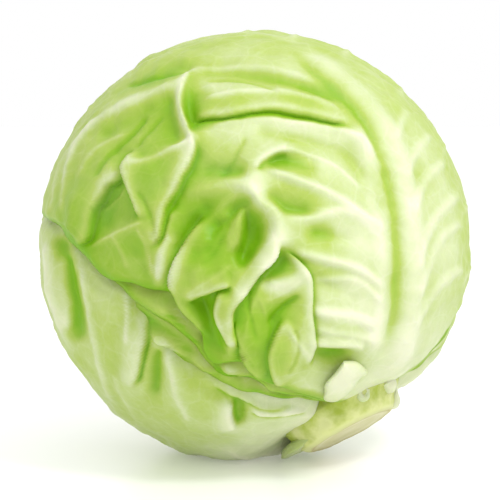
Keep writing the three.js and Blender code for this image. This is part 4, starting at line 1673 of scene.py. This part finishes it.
def leaf_finish(name, shift):
    """The skin of a leaf. shift makes the whole leaf greener, or paler where it is negative."""
    finish, shader, place = new_finish(name)
    grain = noise(place, 2.2, 4) - 0.5
    net = vein_net(place)
    bloom = noise(place, 30, 4).between(0.45, 0.85)
    colour = ramp(greenness(place, shift, grain, net), LEAF_STOPS)
    height = net * 0.5 + grain * 0.5 + noise(place, 0.9, 2) * 0.25
    bump = {"Height": height, "Strength": 0.35, "Distance": 0.00025}
    fill_sockets(shader, {
        "Base Color": blend(bloom * 0.10, colour, BLOOM),
        "Roughness": 0.36 + noise(place, 7) * 0.16 + bloom * 0.12,
        "Normal": place.node("ShaderNodeBump", {}, bump, "Normal"),
        "Subsurface Weight": 0.18,
        "Subsurface Radius": (0.55, 0.8, 0.2),
        "Subsurface Scale": 0.0018,
        "Specular IOR Level": 0.22,
    })
    return finish


print("leaf colours:", len(LEAF_STOPS))

# %% [markdown]
# ### Make the leaves
#
# The front leaf and the ones beside it are ordinary blade. The lower leaf and the small one that closes
# the crown grew in more shade, so they are a little paler.

# %% Make the leaves
LOOKS = {
    "front_leaf": ("leaf_blade", 0.0),
    "second_leaf": ("leaf_blade", 0.12),
    "third_leaf": ("leaf_blade", 0.0),
    "right_back_leaf": ("leaf_blade", 0.0),
    "lower_leaf": ("pale_blade", -0.06),
    "crown_leaf": ("pale_blade", -0.05),
}


def make_leaf(name):
    """One leaf of the head."""
    slot, shift = LOOKS[name]
    skin, paint = leaf_skin(name)
    points, faces = shell(skin, inner_skin(skin, paint["margin"], LEAF_THICKNESS))
    coarse = np.s_[::INNER_EVERY, ::INNER_EVERY]
    paint = {key: np.concatenate([grid.ravel(), grid[coarse].ravel()]) for key, grid in paint.items()}
    return make_piece(name + "_skin", points, faces, paint, leaf_finish(name + "_finish", shift), name)


for leaf_name in LOOKS:
    make_leaf(leaf_name)

# %% [markdown]
# ## The heart
#
# Under the outer leaves the head is solid: leaf packed on leaf. None of that shows, apart from a sliver
# between two margins, so one closed mass with a few wandering layer edges is enough.

# %% Heart
HEART_DEPTH = 16.5
HEART_FLAT_AT = 56.0


def make_heart():
    """The packed inner leaves as one rounded mass, flat where the stalk's root meets it."""
    rows, columns = 60, 90
    along = np.linspace(0, 180, rows + 1)[1:-1, None] + np.zeros(columns)
    around = np.linspace(0, 360, columns, endpoint=False) + np.zeros((rows - 1, 1))
    out = direction(along, around)
    flat = HEART_FLAT_AT / np.maximum(np.cos(np.radians(along)), 0.2)
    spiral = (around / 360 + along / 70) % 1.0
    radius = np.minimum(ball_radius(along) - HEART_DEPTH - 0.8 * spiral + 0.3 * wave(out * 70, 20, 9), flat)
    skin = (out * radius[..., None]).reshape(-1, 3)
    ends = np.stack([STALK_AXIS * HEART_FLAT_AT, -STALK_AXIS * (HEAD_RADIUS - HEART_DEPTH)])
    index = np.arange((rows - 1) * columns).reshape(rows - 1, columns)
    after = np.roll(index, -1, axis=1)
    faces = np.stack([index[:-1], index[1:], after[1:], after[:-1]], axis=-1).reshape(-1, 4).tolist()
    faces += [(len(skin), a, b) for a, b in zip(index[0], after[0])]
    faces += [(len(skin) + 1, b, a) for a, b in zip(index[-1], after[-1])]
    faces = [tuple(int(k) for k in face) for face in faces]
    points = np.concatenate([skin, ends])
    count = len(points)
    paint = dict(green=np.full(count, 0.15), margin=np.full(count, 20), along=np.full(count, 90))
    finish = leaf_finish("heart_finish", 0.0)
    return make_piece("heart_mass", points, faces, paint, finish, "heart")


make_heart()

# %% [markdown]
# ## The cut stalk
#
# The stalk was cut straight through with a knife. The cut is cream with a thin tan rim, where it has
# begun to dry, and a ring of fine dots where the veins of the leaves came through. Its side is ribbed
# by the bases of the leaves that were pulled off, which reach up to the living leaves' bases.

# %% Stalk shape
STALK_PROFILE = [  # radius and height along the axis
    (14.0, 60.0), (19.5, 63.0), (22.0, 67.0), (23.2, 70.5), (22.6, 73.5), (21.4, 76.0), (20.8, 78.0),
    (20.6, 79.4), (20.1, 80.8), (19.1, 81.8), (18.0, 82.4), (17.2, 82.6), (16.4, 82.45),
]
SCARS = [  # a leaf scar's angle, width and height
    (-100, 20, 1.4), (-35, 16, 1.2), (25, 22, 1.5), (75, 18, 1.3), (120, 20, 1.2), (175, 22, 1.4),
    (215, 16, 1.1),
]


def stalk_rings(count):
    """Radius and height of rings up the stalk's side and over the cut face, and 1 for those on the cut."""
    side = sampled(rounded(STALK_PROFILE, 2), 0.45)[0]
    face = np.linspace(side[-1, 0], 0.6, count)
    height = side[-1, 1] - 0.5 * np.sqrt(1 - (face / face[0]) ** 2 + 1e-6)
    rings = np.concatenate([side, np.stack([face, height], axis=1)[1:]])
    cut = np.concatenate([soft_step((side[:, 1] - 80.4) / 1.2), np.ones(count - 1)])
    return rings, cut


print("rings up the stalk:", len(stalk_rings(34)[0]))

# %% [markdown]
# ### The stump's surface
#
# Scars swell the side where leaves were pulled off, and the foot flares into the rib of the front leaf.
# Small waves roughen the side, and the cut is not quite flat.

# %% Stalk surface
def make_stalk():
    """The stump of the stalk, from its hidden root to the middle of the cut face."""
    rings, cut = stalk_rings(34)
    around = np.radians(np.linspace(0, 360, 150, endpoint=False))
    radius = rings[:, :1] + 0 * around
    height = rings[:, 1:] + 0 * around
    on_side = (1 - cut[:, None]) * soft_step((height - 70) / 3)
    for middle, width, out in SCARS:
        turn = (np.degrees(around) - middle + 180) % 360 - 180
        radius = radius + on_side * out * np.exp(-((turn / width) ** 2)) * soft_step((83 - height) / 8)
    flare = np.clip(np.cos(around + 0.3), 0, 1) ** 2 * soft_step((80 - height) / 9)
    radius = radius + 3.4 * flare * (1 - cut[:, None])
    spot = np.stack([radius * np.cos(around), radius * np.sin(around), height], axis=-1)
    radius = radius + on_side * (0.35 * wave(spot, 7, 71) + 0.16 * wave(spot * [1, 1, 0.3], 2.6, 72))
    oval = 1 + 0.02 * np.cos(2 * (around - 0.6)) + 0.02 * np.cos(3 * around + 1)
    height = height + cut[:, None] * (0.14 * wave(spot, 9, 73) + 0.05 * wave(spot * [0.2, 1, 1], 3, 74))
    radius = radius * oval
    points = (
        height[..., None] * STALK_AXIS
        + (radius * np.cos(around))[..., None] * RIB_SIDE
        + (radius * np.sin(around))[..., None] * FAR_SIDE
    )
    index = np.arange(points.shape[0] * points.shape[1]).reshape(points.shape[:2])
    after = np.roll(index, -1, axis=1)
    faces = np.stack([index[:-1], after[:-1], after[1:], index[1:]], axis=-1).reshape(-1, 4).tolist()
    flat = points.reshape(-1, 3)
    faces += [(len(flat), int(b), int(a)) for a, b in zip(index[0], after[0])]
    faces += [(len(flat) + 1, int(a), int(b)) for a, b in zip(index[-1], after[-1])]
    flat = np.concatenate([flat, [STALK_AXIS * rings[0, 1], STALK_AXIS * rings[-1, 1]]])
    ring_share = np.append((radius / (20 * oval)).ravel(), [0.7, 0.0])
    on_cut = np.append((cut[:, None] + 0 * around).ravel(), [0, 1])
    paint = dict(cut=on_cut, ring=ring_share, up=np.append(height.ravel(), [60, 82]))
    return make_piece("stalk_stump", flat, faces, paint, stalk_finish(), "stalk")


print("scars round the stalk:", len(SCARS))

# %% [markdown]
# ### Skin and cut face of the stalk
#
# The side is streaked yellow-green. On the cut the colours lie in rings: pale pith, cream flesh, a ring
# of green dots for the veins, and the tan rim.

# %% Stalk finish
CUT_CREAM = (0.574, 0.548, 0.287)
CUT_PITH = (0.644, 0.618, 0.4)
RIM_TAN = (0.435, 0.365, 0.148)
BAND = (0.574, 0.592, 0.278)
SIDE_GREEN = (0.38, 0.47, 0.04)
SIDE_CREAM = (0.66, 0.69, 0.3)


SIDE_STOPS = [(0.25, SIDE_GREEN), (0.95, SIDE_CREAM)]
CUT_STOPS = [
    (0.0, CUT_PITH), (0.5, CUT_CREAM), (0.68, CUT_PITH), (0.79, CUT_CREAM), (0.85, RIM_TAN), (0.9, BAND),
    (1.0, SIDE_CREAM),
]


def stalk_finish():
    """Cream cut flesh with a tan rim, and a ribbed yellow-green side."""
    finish, shader, place = new_finish("stalk_finish")
    cut, ring, up = noted(place, "cut"), noted(place, "ring"), noted(place, "up")
    streak = noise(place, 3.5, 5, 0.6)
    cloud = noise(place, 9, 3)
    side = ramp((cloud - 0.5) * 2.2 + streak * 0.6 + up.between(66.0, 79.0) * 0.4, SIDE_STOPS)
    cloudy_ring = ring + (cloud - 0.5) * 0.10
    dots = place.node("ShaderNodeTexVoronoi", {}, {"Vector": place, "Scale": 700.0}, "Distance")
    dot_ring = cloudy_ring.between(0.50, 0.62) * (1 - cloudy_ring.between(0.70, 0.80))
    dotted = (1 - dots.between(0.1, 0.35)) * dot_ring * 0.35
    face = blend(dotted, ramp(cloudy_ring, CUT_STOPS), SIDE_GREEN)
    height = streak * 0.8 + noise(place, 0.7, 2) * 0.5
    bump = {"Height": height, "Strength": 0.4, "Distance": 0.0004}
    fill_sockets(shader, {
        "Base Color": blend(cut, side, face),
        "Roughness": 0.42 + streak * 0.25,
        "Normal": place.node("ShaderNodeBump", {}, bump, "Normal"),
        "Subsurface Weight": 0.3,
        "Subsurface Radius": (0.8, 0.8, 0.35),
        "Subsurface Scale": 0.004,
    })
    return finish


make_stalk()

# %% [markdown]
# ## Torn and trimmed leaf bases
#
# Where outer leaves were pulled off, thick white tongues of their bases stay on the stalk. Each is
# drawn as an outline on the front and filled with rings of points from its middle to its edge, higher
# in the middle.

# %% Tongues of leaf base
EDGE_DROP = 0.96  # leaves a fifth of the thickness along an outline


def filled(outline, rings=9):
    """Points of an outline filled with rings towards its middle, each with its share of the way out."""
    edge = rounded([*outline, outline[0]], 2)[:-1]
    middle = edge.mean(axis=0)
    share = np.linspace(0, 1, rings + 1)[1:]
    points = middle + share[:, None, None] * (edge - middle)
    points = np.concatenate([[middle], points.reshape(-1, edge.shape[1])])
    return points, np.append(0, np.repeat(share, len(edge))), len(edge)


def pillow(top, bottom, count):
    """Faces of a closed body between two sets of rings that meet along the outermost one."""
    rings = (len(top) - 1) // count
    points = np.concatenate([top, bottom[: 1 + (rings - 1) * count]])

    def ring(number, offset):
        return [offset + 1 + number * count + k for k in range(count)]

    faces = []
    for side, offset in ((1, 0), (-1, len(top))):
        loops = [ring(number, offset) for number in range(rings - 1)] + [ring(rings - 1, 0)]
        for k in range(count):
            n = (k + 1) % count
            faces.append((offset, loops[0][k], loops[0][n])[::side])
            for inner, outer in zip(loops[:-1], loops[1:]):
                faces.append((inner[k], outer[k], outer[n], inner[n])[::side])
    return points, faces


def make_tongue(node_name, top, bottom, share, count, paleness):
    """A leaf base that was torn or trimmed off."""
    points, faces = pillow(top, bottom, count)
    middle = points.mean(axis=0)
    corner = points[list(faces[0][:3])]
    if np.cross(corner[1] - corner[0], corner[2] - corner[0]) @ (corner[0] - middle) < 0:
        faces = [face[::-1] for face in faces]
    green = np.full(len(points), paleness)
    rim = np.append(share, share[: len(points) - len(share)])
    paint = dict(green=green, margin=6 - 4 * rim, along=0 * green + 60)
    finish = leaf_finish(node_name + "_finish", 0.0)
    return make_piece(node_name + "_flesh", points, faces, paint, finish, node_name)


print("points of a filled triangle:", len(filled([(0, 0), (9, 0), (0, 9)])[0]))

# %% [markdown]
# ### The tongue above the stalk
#
# The largest torn base lies on the leaves just above the stalk. It is thicker at the right, and its torn end
# droops to the left.

# %% The tongue that shows above the stalk
TORN_OUTLINE = [
    (35.2, -45.2), (40.5, -45.2), (44, -48.3), (44.9, -50.5), (41.6, -52), (39.6, -55.8), (35.2, -59.8),
    (31.7, -61.9), (26.8, -61.1), (27.7, -57.5), (27.3, -54.5), (31.7, -50.1),
]
flat, share, count = filled(TORN_OUTLINE)
swell = np.sqrt(1 - EDGE_DROP * share**6)
thicker = soft_step((flat[:, 0] - 27) / 12)
top = from_front(flat[:, 0], flat[:, 1], 1.2 + (2.6 + 2.2 * thicker) * swell)
top = top + 0.3 * (wave(top, 7, 81) * (1 - share**4))[:, None] * TO_EYE
bottom = from_front(flat[:, 0], flat[:, 1], 0.4 - 1.2 * swell)
make_tongue("torn_leaf_base", top, bottom, share, count, 0.02)

# %% [markdown]
# ### Flaps and scars round the stalk
#
# One flat flap stands out from the stalk just under the cut, and three stubs swell its side. Their outlines
# are given by angle round the axis, distance from the axis and height along it.

# %% Flaps and scars round the stalk
FLAPS = {
    "lower_leaf_stub": (1.8, 3.4, 0.22, [
        (92, 18, 78.5), (98, 22.5, 79.4), (122, 26, 79), (144, 29.5, 78.4), (160, 31, 78), (176, 28.5, 77.6),
        (190, 19, 77.5), (150, 15, 78),
    ]),
}
SCARS_ON_SIDE = {
    "right_leaf_stub": (3.4, 0.0, -0.08, [
        (-90, 22, 72), (-62, 23, 70.5), (-36, 23.5, 73), (-30, 22.5, 79), (-42, 21.5, 82), (-66, 21, 82.2),
        (-88, 21, 79),
    ]),
    "small_leaf_stub": (3.0, 0.0, -0.05, [
        (-4, 25, 74.5), (-12, 25, 71.6), (-22, 25, 70.6), (-28, 24.6, 74), (-22, 24, 77.6), (-10, 24, 78.4),
    ]),
    "bud_stub": (2.2, 1.8, 0.1, [
        (13, 25, 74), (17, 25.2, 71.8), (24, 25, 72.2), (28, 24.4, 75), (24, 23.8, 77.6), (16, 24, 77.4),
    ]),
}


def round_stalk(outline):
    """An outline by angle, distance and height, filled and placed."""
    rim = [(d * np.cos(np.radians(a)), d * np.sin(np.radians(a)), h) for a, d, h in outline]
    flat, share, count = filled(rim)
    places = flat[:, :1] * RIB_SIDE + flat[:, 1:2] * FAR_SIDE + flat[:, 2:] * STALK_AXIS
    return places, share, count


for name, (dome, thick, paleness, outline) in FLAPS.items():
    base, share, count = round_stalk(outline)
    swell = np.sqrt(1 - EDGE_DROP * share**2)
    top = base + (dome * swell + 0.2 * wave(base, 5, 82))[:, None] * STALK_AXIS
    bottom = base - (thick * swell)[:, None] * STALK_AXIS
    make_tongue(name, top, bottom, share, count, paleness)

for name, (dome, dent, paleness, outline) in SCARS_ON_SIDE.items():
    base, share, count = round_stalk(outline)
    outwards = base - (base @ STALK_AXIS)[:, None] * STALK_AXIS
    outwards /= np.linalg.norm(outwards, axis=1, keepdims=True)
    swell = np.sqrt(1 - EDGE_DROP * share**2)
    top = base + (dome * swell - dent * np.exp(-((share / 0.45) ** 2)) - 0.4)[:, None] * outwards
    make_tongue(name, top, base - (0.4 + 2 * swell)[:, None] * outwards, share, count, paleness)

# %% [markdown]
# ## Where it lies, and the light
#
# A plain white surface with a little gloss, under broad soft light from above and to the right. Soft
# light keeps the deep folds open and lets the wax show as wide pale sheens.

# %% Floor
floor_mesh = bpy.data.meshes.new("floor")
floor_mesh.from_pydata([(-4, -4, 0), (4, -4, 0), (4, 4, 0), (-4, 4, 0)], [], [(0, 1, 2, 3)])
floor = bpy.data.objects.new("floor", floor_mesh)
bpy.context.scene.collection.objects.link(floor)
floor_finish = bpy.data.materials.new("white_surface")
floor_finish.use_nodes = True
floor_shader = floor_finish.node_tree.nodes["Principled BSDF"]
fill_sockets(floor_shader, {
    "Base Color": (0.93, 0.93, 0.93, 1),
    "Roughness": 0.25,
    "Specular IOR Level": 0.35,
    "Emission Color": (1, 1, 1, 1),
    "Emission Strength": 0.15,
})
floor_mesh.materials.append(floor_finish)
print("floor points:", len(floor_mesh.vertices))

# %% [markdown]
# ### Light
#
# White light comes from all round. A broad lamp above, right of and in front of the head makes the soft
# shadows, and a weak wide one at the left lifts them.

# %% Light
world = bpy.data.worlds.new("soft_room")
bpy.context.scene.world = world
world.use_nodes = True
fill_sockets(world.node_tree.nodes["Background"], {"Color": (1, 1, 1, 1), "Strength": 1.0})
bpy.context.scene.view_settings.view_transform = "Standard"


def soft_light(name, side, power, size):
    """A square light so many millimetres right of, in front of and above the head, turned to face it."""
    data = bpy.data.lights.new(name, "AREA")
    data.energy = power
    data.size = size * MM
    light = bpy.data.objects.new(name, data)
    bpy.context.scene.collection.objects.link(light)
    offset = np.array([side[0], -side[1], side[2]], float)
    light.location = (MIDDLE + offset) * MM
    away = offset / np.linalg.norm(offset)
    light.rotation_euler = (np.arccos(away[2]), 0, np.arctan2(away[1], away[0]) + np.pi / 2)
    print(name, "is", round(float(np.linalg.norm(offset))), "mm away")


soft_light("key", (380, 430, 600), 3.2, 180)
soft_light("front_fill", (-350, 650, 250), 0.4, 400)

# %% [markdown]
